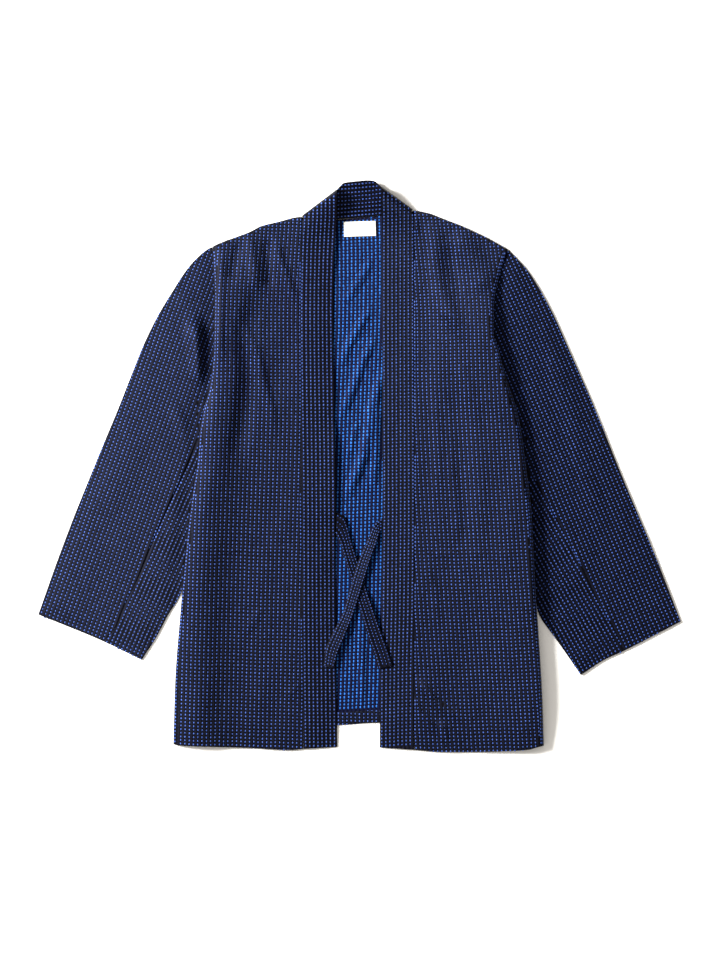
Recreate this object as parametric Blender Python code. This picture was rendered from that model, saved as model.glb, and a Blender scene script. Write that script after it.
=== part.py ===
# Haori jacket with a stitched sashiko surface, laid flat on its back.
# Tables are in millimetres, x to the right seen from above, y towards the neck, z up from the floor.
# Right and left are the wearer's, so the right half lies at minus x.
import math
from collections import namedtuple

import bmesh
import bpy
from mathutils import Matrix, Vector

MM = 0.001

# Cloth, mm
CLOTH = 1.2
SLEEVE_CLOTH = 1.0
BAND_CLOTH = 2.4
BAND_CLOTH_AT_FOLD = 1.8
TIE_CLOTH = 1.6
LABEL_CLOTH = 1.0
SEAM_GAP = 0.3
HEM_DEPTH = 19.0
HEM_EXTRA = 0.8
CUFF_EXTRA = 0.4

# Heights above the floor, mm
FRONT_TOP = 5.0
FRONT_LOWEST = 2.8
HEM_SINK = 1.2
HEM_SINK_FROM = -392.0
HEM_SINK_LENGTH = 32.0
SWELL_WIDTH = 32.0
SHOULDER_RIM = 2.55
SHOULDER_REACH = 3.0
SIDE_REACH = 5.0
SLEEVE_TOP = 4.3
SLEEVE_LOWEST = 2.7
ARMHOLE_TOP = 2.7
ARMHOLE_LAP = 2.0
ARMHOLE_FADE = 26.0
SLEEVE_FAN = 1.8
SLEEVE_CLEARANCE = 0.5
UNDER_CLEARANCE = 1.3
FOLD_REACH = 1.15
FOLD_ROOM = 0.1
EDGE_STEP = 0.01
NECK_HALF_WIDTH = 88.0
SHOULDER_FADE = 14.0

# Nominal sizes that the rows and columns of points are spread over, mm. HEM_LEVEL is how far above
# the hem the panels have a row that keeps them level there.
FRONT_WIDTH = 165.0
FRONT_LENGTH = 760.0
BACK_WIDTH = 500.0
SLEEVE_WIDTH = 190.0
SLEEVE_LENGTH = 600.0
HEM_LEVEL = 30.0

# Side of the body, one row for each section from the shoulder down. front and back are the x of each
# panel's edge, front_rim and back_rim the heights at which they end, crown the puffed height beside it.
SideStation = namedtuple("SideStation", "y front back front_rim back_rim crown")
RIGHT_SIDE = (
    SideStation(329.2, -220.5, -220.5, 3.15, 0.0, 4.8),
    SideStation(249.4, -217.5, -219.5, 3.15, 0.0, 5.2),
    SideStation(175.9, -218.9, -219.5, 3.15, 0.0, 6.0),
    SideStation(127.9, -222.8, -220.0, 3.15, 0.0, 6.8),
    SideStation(81.4, -234.2, -233.4, 3.3, 0.3, 7.6),
    SideStation(45.4, -240.0, -240.0, 4.4, 4.1, 8.6),
    SideStation(12.4, -242.3, -242.3, 4.5, 4.2, 9.0),
    SideStation(-34.1, -249.0, -249.0, 4.5, 4.2, 9.0),
    SideStation(-64.1, -253.4, -253.4, 4.5, 4.2, 9.0),
    SideStation(-140.6, -261.8, -261.8, 4.4, 4.1, 8.8),
    SideStation(-214.1, -268.1, -268.1, 4.2, 3.9, 8.4),
    SideStation(-320.6, -276.3, -276.3, 4.0, 3.7, 8.0),
    SideStation(-416.9, -279.2, -279.2, 3.6, 3.3, 6.8),
)
LEFT_SIDE = (
    SideStation(325.1, 221.3, 222.5, 3.15, 0.0, 5.0),
    SideStation(291.4, 211.7, 222.0, 3.15, 0.0, 6.4),
    SideStation(244.9, 202.1, 221.5, 3.15, 0.0, 7.4),
    SideStation(201.4, 201.2, 221.0, 3.15, 0.0, 8.0),
    SideStation(172.9, 209.0, 221.0, 3.15, 0.0, 8.2),
    SideStation(128.6, 221.3, 221.5, 3.15, 0.0, 8.4),
    SideStation(96.4, 232.7, 231.9, 3.3, 0.2, 9.0),
    SideStation(58.9, 241.8, 241.8, 5.0, 4.7, 10.0),
    SideStation(0.4, 249.8, 249.8, 5.4, 5.1, 10.6),
    SideStation(-67.1, 258.0, 258.0, 5.5, 5.2, 10.8),
    SideStation(-140.6, 261.8, 261.8, 5.5, 5.2, 11.0),
    SideStation(-212.6, 265.9, 265.9, 5.5, 5.2, 11.0),
    SideStation(-350.6, 274.2, 274.2, 5.3, 5.0, 10.6),
    SideStation(-418.7, 276.3, 276.3, 4.4, 4.1, 8.8),
)

# Plan outlines, x and y of each point
Point = namedtuple("Point", "x y")
RIGHT_SHOULDER = (
    Point(-220.5, 329.2),
    Point(-212.4, 333.4),
    Point(-162.9, 352.3),
    Point(-148.2, 360.0),
    Point(-122.7, 366.4),
    Point(-87.0, 374.2),
)
LEFT_SHOULDER = (
    Point(82.2, 383.2),
    Point(137.9, 366.4),
    Point(179.3, 348.4),
    Point(206.0, 334.4),
    Point(221.3, 325.1),
)
NECKLINE = (
    Point(-78.0, 370.8),
    Point(-60.0, 369.4),
    Point(-33.8, 369.8),
    Point(0.0, 372.6),
    Point(33.8, 375.8),
    Point(60.0, 378.6),
    Point(78.2, 381.8),
)
RIGHT_HEM = (
    Point(-279.2, -416.9),
    Point(-271.7, -418.6),
    Point(-164.3, -422.6),
    Point(-102.8, -425.6),
    Point(-84.3, -424.2),
    Point(-65.3, -422.0),
    Point(-33.3, -421.2),
)
LEFT_HEM = (
    Point(30.4, -421.9),
    Point(60.8, -423.4),
    Point(82.1, -425.6),
    Point(125.3, -428.6),
    Point(177.8, -428.6),
    Point(223.8, -427.1),
    Point(253.5, -424.9),
    Point(265.2, -421.6),
    Point(276.3, -418.7),
)
BACK_HEM = (
    Point(-279.2, -416.9),
    Point(-200.0, -408.0),
    Point(-120.0, -396.0),
    Point(-33.0, -388.4),
    Point(30.0, -384.8),
    Point(120.0, -396.0),
    Point(200.0, -408.0),
    Point(276.3, -418.7),
)
RIGHT_BAND_SEAM = (
    Point(-86.4, 366.6),
    Point(-87.8, 234.4),
    Point(-87.0, -50.6),
    Point(-84.0, -424.0),
)
RIGHT_BAND_EDGE = (
    Point(-34.4, 375.4),
    Point(-37.7, 310.9),
    Point(-39.0, 234.4),
    Point(-35.7, -50.6),
    Point(-35.3, -200.6),
    Point(-33.3, -421.2),
)
LEFT_BAND_SEAM = (
    Point(81.5, 375.0),
    Point(81.2, 234.4),
    Point(82.2, -50.6),
    Point(81.8, -425.4),
)
LEFT_BAND_EDGE = (
    Point(33.8, 380.0),
    Point(33.8, 234.4),
    Point(34.5, -50.6),
    Point(33.3, -200.6),
    Point(30.8, -320.6),
    Point(30.4, -421.9),
)
RIGHT_SLEEVE_FOLD = (
    Point(-221.4, 328.8),
    Point(-227.3, 326.0),
    Point(-254.3, 301.0),
    Point(-282.0, 259.9),
    Point(-302.7, 225.4),
    Point(-323.3, 183.4),
    Point(-340.5, 142.9),
    Point(-361.2, 87.4),
    Point(-383.3, 37.9),
    Point(-404.3, -20.6),
    Point(-430.1, -77.6),
    Point(-457.7, -149.6),
    Point(-481.9, -222.4),
)
LEFT_SLEEVE_FOLD = (
    Point(224.0, 324.6),
    Point(253.8, 291.4),
    Point(272.9, 260.6),
    Point(290.3, 228.4),
    Point(315.8, 171.4),
    Point(349.5, 94.9),
    Point(371.9, 39.4),
    Point(396.0, -20.6),
    Point(435.8, -115.1),
    Point(481.9, -232.7),
)
# The sleeve's lower fold below the place where it leaves the body's side
RIGHT_SLEEVE_UNDER = (
    Point(-266.1, -184.0),
    Point(-289.2, -226.9),
    Point(-305.6, -257.6),
    Point(-326.7, -290.4),
)
LEFT_SLEEVE_UNDER = (
    Point(266.4, -212.6),
    Point(295.5, -260.6),
    Point(301.4, -268.8),
    Point(331.8, -313.1),
)
RIGHT_CUFF = (
    Point(-481.9, -222.4),
    Point(-388.5, -260.6),
    Point(-326.7, -290.4),
)
LEFT_CUFF = (
    Point(331.8, -313.1),
    Point(367.7, -289.9),
    Point(394.5, -277.7),
    Point(440.3, -254.3),
    Point(481.9, -232.7),
)
RIGHT_ARMPIT_Y = 63.4
LEFT_ARMPIT_Y = 76.0

# Where the sleeve's front layer ends, tucked under the front panel's edge. Below this it runs beside
# the body down to the armpit.
RIGHT_SLEEVE_HEAD = (
    Point(-221.4, 328.8),
    Point(-220.0, 318.0),
    Point(-209.5, 296.0),
    Point(-208.5, 249.4),
    Point(-209.5, 175.9),
    Point(-214.5, 127.9),
)
LEFT_SLEEVE_HEAD = (
    Point(224.0, 324.6),
    Point(219.0, 312.0),
    Point(203.0, 291.4),
    Point(193.0, 244.9),
    Point(192.0, 201.4),
    Point(200.0, 172.9),
    Point(213.0, 133.0),
)
ARMPIT_STEPS = (28.0, 14.0, 0.0)

# Soft folds of the cloth: a stretch from one point to another, its half width and its height.
# A negative height is a trough.
Fold = namedtuple("Fold", "x0 y0 x1 y1 width height")
FRONT_FOLDS = (
    Fold(-152.3, 345.4, -143.3, 289.9, 15.0, -1.6),
    Fold(-116.3, 331.9, -104.3, 280.9, 13.0, -1.3),
    Fold(-93.8, 361.9, -93.8, 339.4, 9.0, -0.9),
    Fold(-191.3, 333.4, -188.3, 306.4, 12.0, -1.0),
    Fold(-171.8, 271.9, -164.3, 196.9, 34.0, -1.9),
    Fold(-211.5, 276.0, -212.5, 180.0, 12.0, 1.4),
    Fold(-128.0, 352.0, -124.0, 262.0, 10.0, 0.9),
    Fold(-176.0, 60.0, -182.0, -120.0, 40.0, 1.2),
    Fold(-130.0, -120.0, -138.0, -360.0, 34.0, -0.9),
    Fold(89.5, 378.0, 90.0, 351.0, 9.0, -1.2),
    Fold(125.3, 357.4, 132.8, 264.4, 17.0, -1.7),
    Fold(188.3, 318.0, 203.0, 286.9, 14.0, -1.2),
    Fold(158.0, 345.0, 164.0, 236.0, 20.0, 1.4),
    Fold(106.0, 366.0, 110.0, 262.0, 10.0, 0.8),
    Fold(178.0, 150.0, 190.0, -80.0, 44.0, 1.4),
    Fold(150.0, -140.0, 156.0, -370.0, 36.0, -0.9),
)
BACK_FOLDS = (
    Fold(4.0, -236.0, 7.5, -388.0, 8.0, 1.1),
    Fold(-30.0, 232.0, 20.0, 120.0, 16.0, 0.9),
    Fold(-24.0, 96.0, 26.0, -10.0, 16.0, 0.9),
)
SLEEVE_FOLDS = (
    Fold(-262.0, 276.0, -300.0, 170.0, 26.0, -0.9),
    Fold(-246.0, 214.0, -262.0, 96.0, 22.0, -0.9),
    Fold(-330.0, 120.0, -396.0, -80.0, 30.0, 0.7),
    Fold(-239.0, 42.0, -262.0, -20.0, 7.0, -0.7),
    Fold(-262.0, -20.0, -308.0, -100.0, 7.0, -0.7),
    Fold(-308.0, -100.0, -360.0, -235.0, 7.0, -0.7),
    Fold(262.0, 256.0, 300.0, 150.0, 24.0, -0.9),
    Fold(244.0, 236.0, 262.0, 110.0, 24.0, -1.0),
    Fold(330.0, 100.0, 396.0, -110.0, 30.0, 0.7),
    Fold(271.0, -36.0, 328.0, -142.0, 7.0, -0.6),
    Fold(328.0, -142.0, 372.0, -226.0, 7.0, -0.6),
)

# The collar's fold beside the neck: axis and outline at the seam end and at the free end, and the
# heights of the cloth's face over and under it. low_free is where the free end leaves the fold below.
NeckFold = namedtuple("NeckFold", "axis_seam axis_free out_seam out_free low_free")
RIGHT_NECK_FOLD = NeckFold(
    Point(-83.4, 373.4), Point(-34.4, 409.2), Point(-85.2, 375.9), Point(-34.6, 414.5), Point(-34.0, 411.4)
)
LEFT_NECK_FOLD = NeckFold(
    Point(78.1, 382.6), Point(33.8, 413.4), Point(79.9, 385.2), Point(34.2, 418.7), Point(33.4, 415.6)
)
NECK_TOP_SEAM = 6.4
NECK_TOP_FREE = 14.4
NECK_LIFT = 6.0
NECK_RISE_LENGTH = 38.0
BAND_SHARES = (0.0, 0.25, 0.5, 0.75, 1.0)
BAND_SECTIONS = 16
FAN_SECTIONS = 3
TURN_SECTIONS = 6

# The back of the neck, seam end and free end of each section from right to left
NeckSection = namedtuple("NeckSection", "seam_x free_x free_y")
NECK_SECTIONS = (
    NeckSection(-74.0, -29.2, 414.4),
    NeckSection(-56.0, -21.5, 420.2),
    NeckSection(-38.0, -13.5, 424.6),
    NeckSection(-20.0, -4.5, 427.4),
    NeckSection(0.0, 5.0, 428.6),
    NeckSection(20.0, 13.0, 428.0),
    NeckSection(38.0, 20.0, 425.2),
    NeckSection(54.0, 25.6, 421.4),
    NeckSection(68.0, 29.4, 418.1),
)

# Ties: both edges and the height of the underside, from the root to the free end
TieSection = namedtuple("TieSection", "x0 y0 x1 y1 z")
RIGHT_TIE = (
    TieSection(-35.2, -69.0, -35.0, -102.0, 3.0),
    TieSection(-23.3, -75.5, -28.5, -118.1, 2.9),
    TieSection(-12.8, -109.1, -21.8, -140.6, 2.7),
    TieSection(-2.3, -142.1, -15.8, -160.1, 2.6),
    TieSection(11.0, -185.6, -5.3, -196.1, 2.8),
    TieSection(18.0, -206.0, 0.0, -214.0, 3.7),
    TieSection(26.3, -229.9, 8.3, -241.9, 5.0),
    TieSection(34.5, -253.1, 15.0, -263.6, 5.5),
    TieSection(42.5, -275.6, 21.5, -281.4, 5.5),
    TieSection(50.1, -298.9, 27.8, -303.4, 5.5),
)
LEFT_TIE = (
    TieSection(34.1, -96.0, 34.2, -77.0, 3.0),
    TieSection(31.0, -98.0, 22.7, -86.6, 3.2),
    TieSection(25.5, -115.1, 12.0, -110.6, 3.9),
    TieSection(17.3, -137.6, 1.7, -133.1, 4.7),
    TieSection(10.5, -159.4, -6.0, -155.6, 5.0),
    TieSection(0.5, -191.6, -15.8, -188.6, 5.1),
    TieSection(-9.3, -221.6, -24.4, -218.6, 5.2),
    TieSection(-21.8, -254.6, -40.8, -251.6, 5.5),
    TieSection(-32.3, -280.1, -51.3, -277.1, 5.5),
    TieSection(-38.3, -301.9, -53.7, -299.6, 5.5),
)

LABEL_SIZE = (48.7, 23.2)
LABEL_CENTRE = (0.6, 356.0)
LABEL_TILT = 1.8

# Distances from a rolled edge at which the cloth has a column or row of points
SIDE_COLUMNS = (0.0, 0.4, 1.5, 3.2, 5.6, 14.0, 28.0)
ROLLED_COLUMNS = 4
SHOULDER_ROWS = (0.0, 0.3, 1.1, 3.2)
SLEEVE_EDGE_COLUMNS = (0.0, 0.25, 0.9, 2.4, 7.0)
SLEEVE_HEAD_ROWS = (0.0, 9.0, 20.0, 34.0)
# The back's columns between its sides, named by the x at which they meet its upper edge
BACK_RIGHT_COLUMNS = (-160.0, -128.0, -102.0, -87.0)
BACK_LEFT_COLUMNS = (82.2, 102.0, 128.0, 160.0)

# Finishes
NAVY = (0.016, 0.019, 0.050, 1.0)
LABEL_WHITE = (0.80, 0.80, 0.78, 1.0)
CLOTH_ROUGHNESS = 0.9


def smooth_lookup(pairs, key):
    """Value at key on a smooth curve through (key, value) pairs that never overshoots them."""
    pairs = sorted(pairs)
    if key <= pairs[0][0]:
        return pairs[0][1]
    if key >= pairs[-1][0]:
        return pairs[-1][1]
    slopes = [
        (after[1] - before[1]) / (after[0] - before[0])
        for before, after in zip(pairs, pairs[1:])
    ]
    tangents = [slopes[0]]
    for before, after in zip(slopes, slopes[1:]):
        same_way = before * after > 0
        tangents.append(2 * before * after / (before + after) if same_way else 0.0)
    tangents.append(slopes[-1])
    index = next(i for i in range(len(slopes)) if key <= pairs[i + 1][0])
    start, end = pairs[index], pairs[index + 1]
    step = end[0] - start[0]
    t = (key - start[0]) / step
    return (
        start[1] * (2 * t**3 - 3 * t**2 + 1)
        + tangents[index] * step * (t**3 - 2 * t**2 + t)
        + end[1] * (3 * t**2 - 2 * t**3)
        + tangents[index + 1] * step * (t**3 - t**2)
    )


def mix(a, b, t):
    return a + (b - a) * t


def edge_down(points, t):
    """Point at share t of the way down an edge that is named by its height in the plan."""
    y = mix(points[0].y, points[-1].y, t)
    return Vector((smooth_lookup([(p.y, p.x) for p in points], y), y))


def edge_across(points, t):
    """Point at share t of the way along an edge that is named by its place across the plan."""
    x = mix(points[0].x, points[-1].x, t)
    return Vector((x, smooth_lookup([(p.x, p.y) for p in points], x)))


def patch(start, end, first, last, u, v):
    """Plan point of a panel between its edges: u from start to end, v from first to last."""
    ruled = start(v).lerp(end(v), u) + first(u).lerp(last(u), v)
    corners = start(0).lerp(end(0), u).lerp(start(1).lerp(end(1), u), v)
    return ruled - corners


def from_edge(plan, edge, t):
    """Distance of a point from the tangent of an edge at share t of its way."""
    before, after = edge(max(t - EDGE_STEP, 0.0)), edge(min(t + EDGE_STEP, 1.0))
    return abs((after - before).normalized().cross(plan - edge(t)))


def roll(distance, reach):
    """Share of the full height at a distance from a rolled edge, a quarter circle over its reach."""
    share = min(max(distance / reach, 0.0), 1.0)
    return math.sqrt(1 - (1 - share) ** 2)


def folds_at(folds, x, y):
    height = 0.0
    for fold in folds:
        start = Vector((fold.x0, fold.y0))
        run = Vector((fold.x1, fold.y1)) - start
        along = (Vector((x, y)) - start).dot(run) / run.length_squared
        nearest = start + run * min(max(along, 0.0), 1.0)
        away = (Vector((x, y)) - nearest).length / fold.width
        if away < 1:
            height += fold.height * (1 - away**2) ** 2
    return height


def hem_rows(rows, length):
    """Rows with their last one replaced by those of a turned-up hem."""
    return rows[:-1] + [1 - HEM_LEVEL / length, 1 - (HEM_DEPTH + 1) / length, 1 - HEM_DEPTH / length, 1.0]


def spread(edge_steps, length, inner_count, both_ends):
    """Shares from 0 to 1: close steps at the start, and at the end too if asked, even ones between."""
    near = [step / length for step in edge_steps]
    far = [1 - share for share in reversed(near)] if both_ends else [1.0]
    gap = (far[0] - near[-1]) / (inner_count + 1)
    inner = [near[-1] + gap * (i + 1) for i in range(inner_count)]
    return near + inner + far


def cloth_material(name, colour):
    material = bpy.data.materials.new(name)
    material.use_nodes = True
    shader = material.node_tree.nodes["Principled BSDF"]
    shader.inputs["Base Color"].default_value = colour
    shader.inputs["Roughness"].default_value = CLOTH_ROUGHNESS
    shader.inputs["Metallic"].default_value = 0.0
    return material


def add_object(name, bm, colour):
    mesh = bpy.data.meshes.new(name)
    bm.to_mesh(mesh)
    bm.free()
    mesh.shade_smooth()
    mesh.set_sharp_from_angle(angle=math.radians(50))
    obj = bpy.data.objects.new(name, mesh)
    bpy.context.scene.collection.objects.link(obj)
    mesh.materials.append(cloth_material(name + "_cloth", colour))
    return obj


def cloth_wall(name, columns, rows, face, thickness, facing, settle=None, closed=False):
    """A wall of cloth from its outer face. face(i, j) gives a point in mm and thickness(i, j) the cloth
    there. facing is (i, j, sign): the outer face looks up or down at that place. settle(i, j, outer,
    inner) may correct the inner point at a seam. A closed wall's first and last columns are one."""
    bm = bmesh.new()
    bmesh.ops.create_grid(bm, x_segments=columns - 1, y_segments=rows - 1, size=0.5)
    layer = bm.verts.layers.int.new("place")
    for vert in bm.verts:
        i = round((vert.co.x + 0.5) * (columns - 1))
        j = round((vert.co.y + 0.5) * (rows - 1))
        vert[layer] = i * rows + j
        vert.co = Vector(face(i, j))
    bm.normal_update()
    wanted = facing[0] * rows + facing[1]
    looking = next(vert.normal.z for vert in bm.verts if vert[layer] == wanted)
    if looking * facing[2] < 0:
        bmesh.ops.reverse_faces(bm, faces=bm.faces[:])
    if closed:
        bmesh.ops.remove_doubles(bm, verts=bm.verts[:], dist=0.001)
    bm.normal_update()
    outer = {vert[layer]: (vert.co.copy(), vert.normal.copy()) for vert in bm.verts}
    made = bmesh.ops.extrude_face_region(bm, geom=bm.faces[:], use_keep_orig=True)
    for vert in [item for item in made["geom"] if isinstance(item, bmesh.types.BMVert)]:
        i, j = divmod(vert[layer], rows)
        point, normal = outer[vert[layer]]
        inner = point - normal * thickness(i, j)
        if settle:
            settle(i, j, point, inner)
        vert.co = inner
    bmesh.ops.scale(bm, vec=(MM, MM, MM), verts=bm.verts[:])
    bmesh.ops.recalc_face_normals(bm, faces=bm.faces[:])
    return add_object(name, bm, NAVY)


def side_value(side, y, column):
    return smooth_lookup([(row.y, getattr(row, column)) for row in side], y)


def hem_sink(y):
    """The fronts hang below the back's hem, and sink towards the floor there."""
    share = (HEM_SINK_FROM - y) / HEM_SINK_LENGTH
    return HEM_SINK * min(max(share, 0.0), 1.0)


def add_front(name, side, shoulder, band_seam, hem):
    sign = math.copysign(1, side[0].front)
    columns = spread(SIDE_COLUMNS, FRONT_WIDTH, 7, False)
    rows = hem_rows(spread(SHOULDER_ROWS, FRONT_LENGTH, 23, False), FRONT_LENGTH)
    side_edge = [Point(row.front, row.y) for row in side]
    neck_corner = min(shoulder, key=lambda p: abs(p.x))
    seam_edge = [neck_corner] + [Point(p.x + sign * SEAM_GAP, p.y) for p in band_seam[1:]]
    top_edge = [side_edge[0]] + sorted(
        (p for p in shoulder if abs(p.x) < abs(side_edge[0].x) - 1),
        key=lambda p: -abs(p.x),
    )
    hem_edge = [side_edge[-1]] + sorted(
        (p for p in hem if abs(seam_edge[-1].x) + 1 < abs(p.x) < abs(side_edge[-1].x) - 1),
        key=lambda p: -abs(p.x),
    )
    hem_edge.append(seam_edge[-1])

    def face(i, j):
        u, v = columns[i], rows[j]
        outer_point, seam_point = edge_down(side_edge, v), edge_down(seam_edge, v)
        top_point, hem_point = edge_across(top_edge, u), edge_across(hem_edge, u)
        plan = patch(
            lambda t: edge_down(side_edge, t),
            lambda t: edge_down(seam_edge, t),
            lambda t: edge_across(top_edge, t),
            lambda t: edge_across(hem_edge, t),
            u,
            v,
        )
        from_side = (outer_point - seam_point).length * u
        from_top = (top_point - hem_point).length * v
        rim = side_value(side, outer_point.y, "front_rim")
        crown = side_value(side, outer_point.y, "crown")
        swell = (crown - FRONT_TOP) * math.exp(-((from_side / SWELL_WIDTH) ** 2))
        height = FRONT_TOP + swell + folds_at(FRONT_FOLDS, plan.x, plan.y) - hem_sink(plan.y)
        height = max(height, FRONT_LOWEST)
        height = mix(rim, height, roll(from_side, SIDE_REACH))
        height = min(height, mix(SHOULDER_RIM, height, roll(from_top, SHOULDER_REACH)))
        return plan.x, plan.y, height

    def thickness(i, j):
        in_hem = j >= len(rows) - 2 and i > ROLLED_COLUMNS
        return CLOTH + (HEM_EXTRA if in_hem else 0.0)

    def settle(i, j, outer, inner):
        if i == 0 or j == 0:
            inner.z = max(inner.z, outer.z)

    middle = (len(columns) // 2, len(rows) // 2, 1)
    return cloth_wall(name, len(columns), len(rows), face, thickness, middle, settle)


def add_back():
    rows = hem_rows(spread(SHOULDER_ROWS, FRONT_LENGTH, 21, False), FRONT_LENGTH)
    right_edge = [Point(row.back, row.y) for row in RIGHT_SIDE]
    left_edge = [Point(row.back, row.y) for row in LEFT_SIDE]
    top_edge = [right_edge[0], *RIGHT_SHOULDER[1:], *NECKLINE, *LEFT_SHOULDER[:-1], left_edge[0]]
    inner_x = [*BACK_RIGHT_COLUMNS, *(p.x for p in NECKLINE), *BACK_LEFT_COLUMNS]
    top_width = left_edge[0].x - right_edge[0].x
    near = [step / BACK_WIDTH for step in SIDE_COLUMNS]
    inner_columns = [(x - right_edge[0].x) / top_width for x in inner_x]
    columns = near + inner_columns + [1 - share for share in reversed(near)]

    def face(i, j):
        u, v = columns[i], rows[j]
        right_point, left_point = edge_down(right_edge, v), edge_down(left_edge, v)
        plan = patch(
            lambda t: edge_down(right_edge, t),
            lambda t: edge_down(left_edge, t),
            lambda t: edge_across(top_edge, t),
            lambda t: edge_across(BACK_HEM, t),
            u,
            v,
        )
        width = (left_point - right_point).length
        length = (edge_across(top_edge, u) - edge_across(BACK_HEM, u)).length
        right_rim = side_value(RIGHT_SIDE, right_point.y, "back_rim")
        left_rim = side_value(LEFT_SIDE, left_point.y, "back_rim")
        beside_neck = min(max((abs(plan.x) - NECK_HALF_WIDTH) / SHOULDER_FADE, 0.0), 1.0)
        lifts = (
            right_rim * (1 - roll(width * u, SIDE_REACH)),
            left_rim * (1 - roll(width * (1 - u), SIDE_REACH)),
            (SHOULDER_RIM - SEAM_GAP) * beside_neck * (1 - roll(length * v, SHOULDER_REACH)),
            folds_at(BACK_FOLDS, plan.x, plan.y),
        )
        return plan.x, plan.y, max(lifts)

    def thickness(i, j):
        in_hem = j >= len(rows) - 2 and ROLLED_COLUMNS < i < len(columns) - 1 - ROLLED_COLUMNS
        return CLOTH + (HEM_EXTRA if in_hem else 0.0)

    def settle(i, j, outer, inner):
        if i in (0, len(columns) - 1) or j == 0:
            inner.z = min(inner.z, max(outer.z, CLOTH))

    middle = (len(columns) // 2, len(rows) // 2, -1)
    return cloth_wall("back", len(columns), len(rows), face, thickness, middle, settle)


def add_sleeve(name, side, fold, head_lap, armpit_y, under, cuff):
    """One tube: the front layer from the upper fold to the lower one, then the back layer back again."""
    sign = math.copysign(1, side[0].front)

    def beside_body(y):
        return Point(side_value(side, y, "front") + sign * SLEEVE_CLEARANCE, y)

    over = spread(SLEEVE_EDGE_COLUMNS, SLEEVE_WIDTH, 7, True)
    below = spread(SLEEVE_EDGE_COLUMNS, SLEEVE_WIDTH, 6, True)[1:-1]
    ring = [(u, True) for u in over] + [(u, False) for u in reversed(below)] + [(0.0, True)]
    rows = spread(SLEEVE_HEAD_ROWS, SLEEVE_LENGTH, 12, False)
    rows[-1:] = [1 - (HEM_DEPTH + 1) / SLEEVE_LENGTH, 1 - HEM_DEPTH / SLEEVE_LENGTH, 1.0]
    head = [*head_lap, *(beside_body(armpit_y + step) for step in ARMPIT_STEPS)]
    armpit = head[-1]
    back_side = [row for row in side[1:] if row.y > armpit_y + ARMPIT_STEPS[0]]
    back_lap = [Point(row.back + sign * UNDER_CLEARANCE, row.y) for row in back_side]
    back_head = [head[0], *back_lap, *head[-2:]]
    body_rows = [row.y for row in side if under[0].y + 10 < row.y < armpit_y - 10]
    under_edge = [armpit, *(beside_body(y) for y in body_rows), *under]
    cuff_edge = sorted(cuff, key=lambda p: -abs(p.x))
    edge_share = SLEEVE_EDGE_COLUMNS[-1] / SLEEVE_WIDTH

    def upper_edge(t):
        return edge_down(fold, t)

    def lower_edge(t):
        return edge_down(under_edge, t**SLEEVE_FAN)

    def tube_point(u, v, is_front):
        """Point of the tube's outer face, and the height halfway between its layers."""
        end = head if is_front else back_head
        plan = patch(
            upper_edge,
            lower_edge,
            lambda t: edge_down(end, t),
            lambda t: edge_across(cuff_edge, t),
            u,
            v,
        )
        outboard = sign * (plan.x - side_value(side, plan.y, "front"))
        fade = min(max((outboard - ARMHOLE_LAP) / ARMHOLE_FADE, 0.0), 1.0)
        fade = fade * fade * (3 - 2 * fade)
        middle = mix(ARMHOLE_TOP, SLEEVE_TOP, fade) / 2
        from_fold = min(from_edge(plan, upper_edge, v), from_edge(plan, lower_edge, v))
        lift = roll(from_fold, middle * FOLD_REACH)
        if not is_front:
            return Vector((plan.x, plan.y, middle * (1 - lift))), middle
        top = max(2 * middle + folds_at(SLEEVE_FOLDS, plan.x, plan.y) * fade, SLEEVE_LOWEST)
        return Vector((plan.x, plan.y, mix(middle, top, lift))), middle

    def face(i, j):
        u, is_front = ring[i]
        return tube_point(u, rows[j], is_front)[0]

    def settle(i, j, outer, inner):
        u, is_front = ring[i]
        cloth = SLEEVE_CLOTH + (CUFF_EXTRA if j >= len(rows) - 2 else 0.0)
        inset = cloth / SLEEVE_WIDTH * max(1 - min(u, 1 - u) / edge_share, 0.0)
        point, middle = tube_point(u + inset if u < 0.5 else u - inset, rows[j], is_front)
        if u in (0.0, 1.0):
            point.z = middle
        elif is_front:
            point.z = max(point.z - cloth, middle + FOLD_ROOM)
        else:
            point.z = min(point.z + cloth, middle - FOLD_ROOM)
        inner.xyz = point

    facing = (len(over) // 2, len(rows) // 2, 1)
    return cloth_wall(
        name, len(ring), len(rows), face, lambda i, j: SLEEVE_CLOTH, facing, settle, closed=True
    )


def collar_top(share, below):
    """Height of the band's face: share across it from its seam, below the fold beside the neck."""
    rise = math.exp(-((max(below, 0.0) / NECK_RISE_LENGTH) ** 2))
    return FRONT_TOP + (mix(NECK_TOP_SEAM, NECK_TOP_FREE, share) - FRONT_TOP) * rise


def neck_underside(share):
    return NECK_LIFT * share**1.5


def neckline_y(x):
    """The back's upper edge runs straight between its columns, and so does the seam on it."""
    points = (RIGHT_SHOULDER[-1], *NECKLINE, LEFT_SHOULDER[0])
    start, end = next((a, b) for a, b in zip(points, points[1:]) if a.x <= x <= b.x)
    return mix(start.y, end.y, (x - start.x) / (end.x - start.x))


def front_band_point(seam, free, fold, share):
    plan = seam.lerp(free, share)
    fold_y = mix(fold.axis_seam.y, fold.axis_free.y, share)
    return Vector((plan.x, plan.y, collar_top(share, fold_y - plan.y) - hem_sink(plan.y)))


def band_sections(pairs, fold):
    """Sections of the front band between seam and free points: outer face over inner face."""
    down = Vector((0, 0, BAND_CLOTH))
    outer = [[front_band_point(*pair, fold, share) for share in BAND_SHARES] for pair in pairs]
    return [[point, point - down] for section in outer for point in section]


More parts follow.
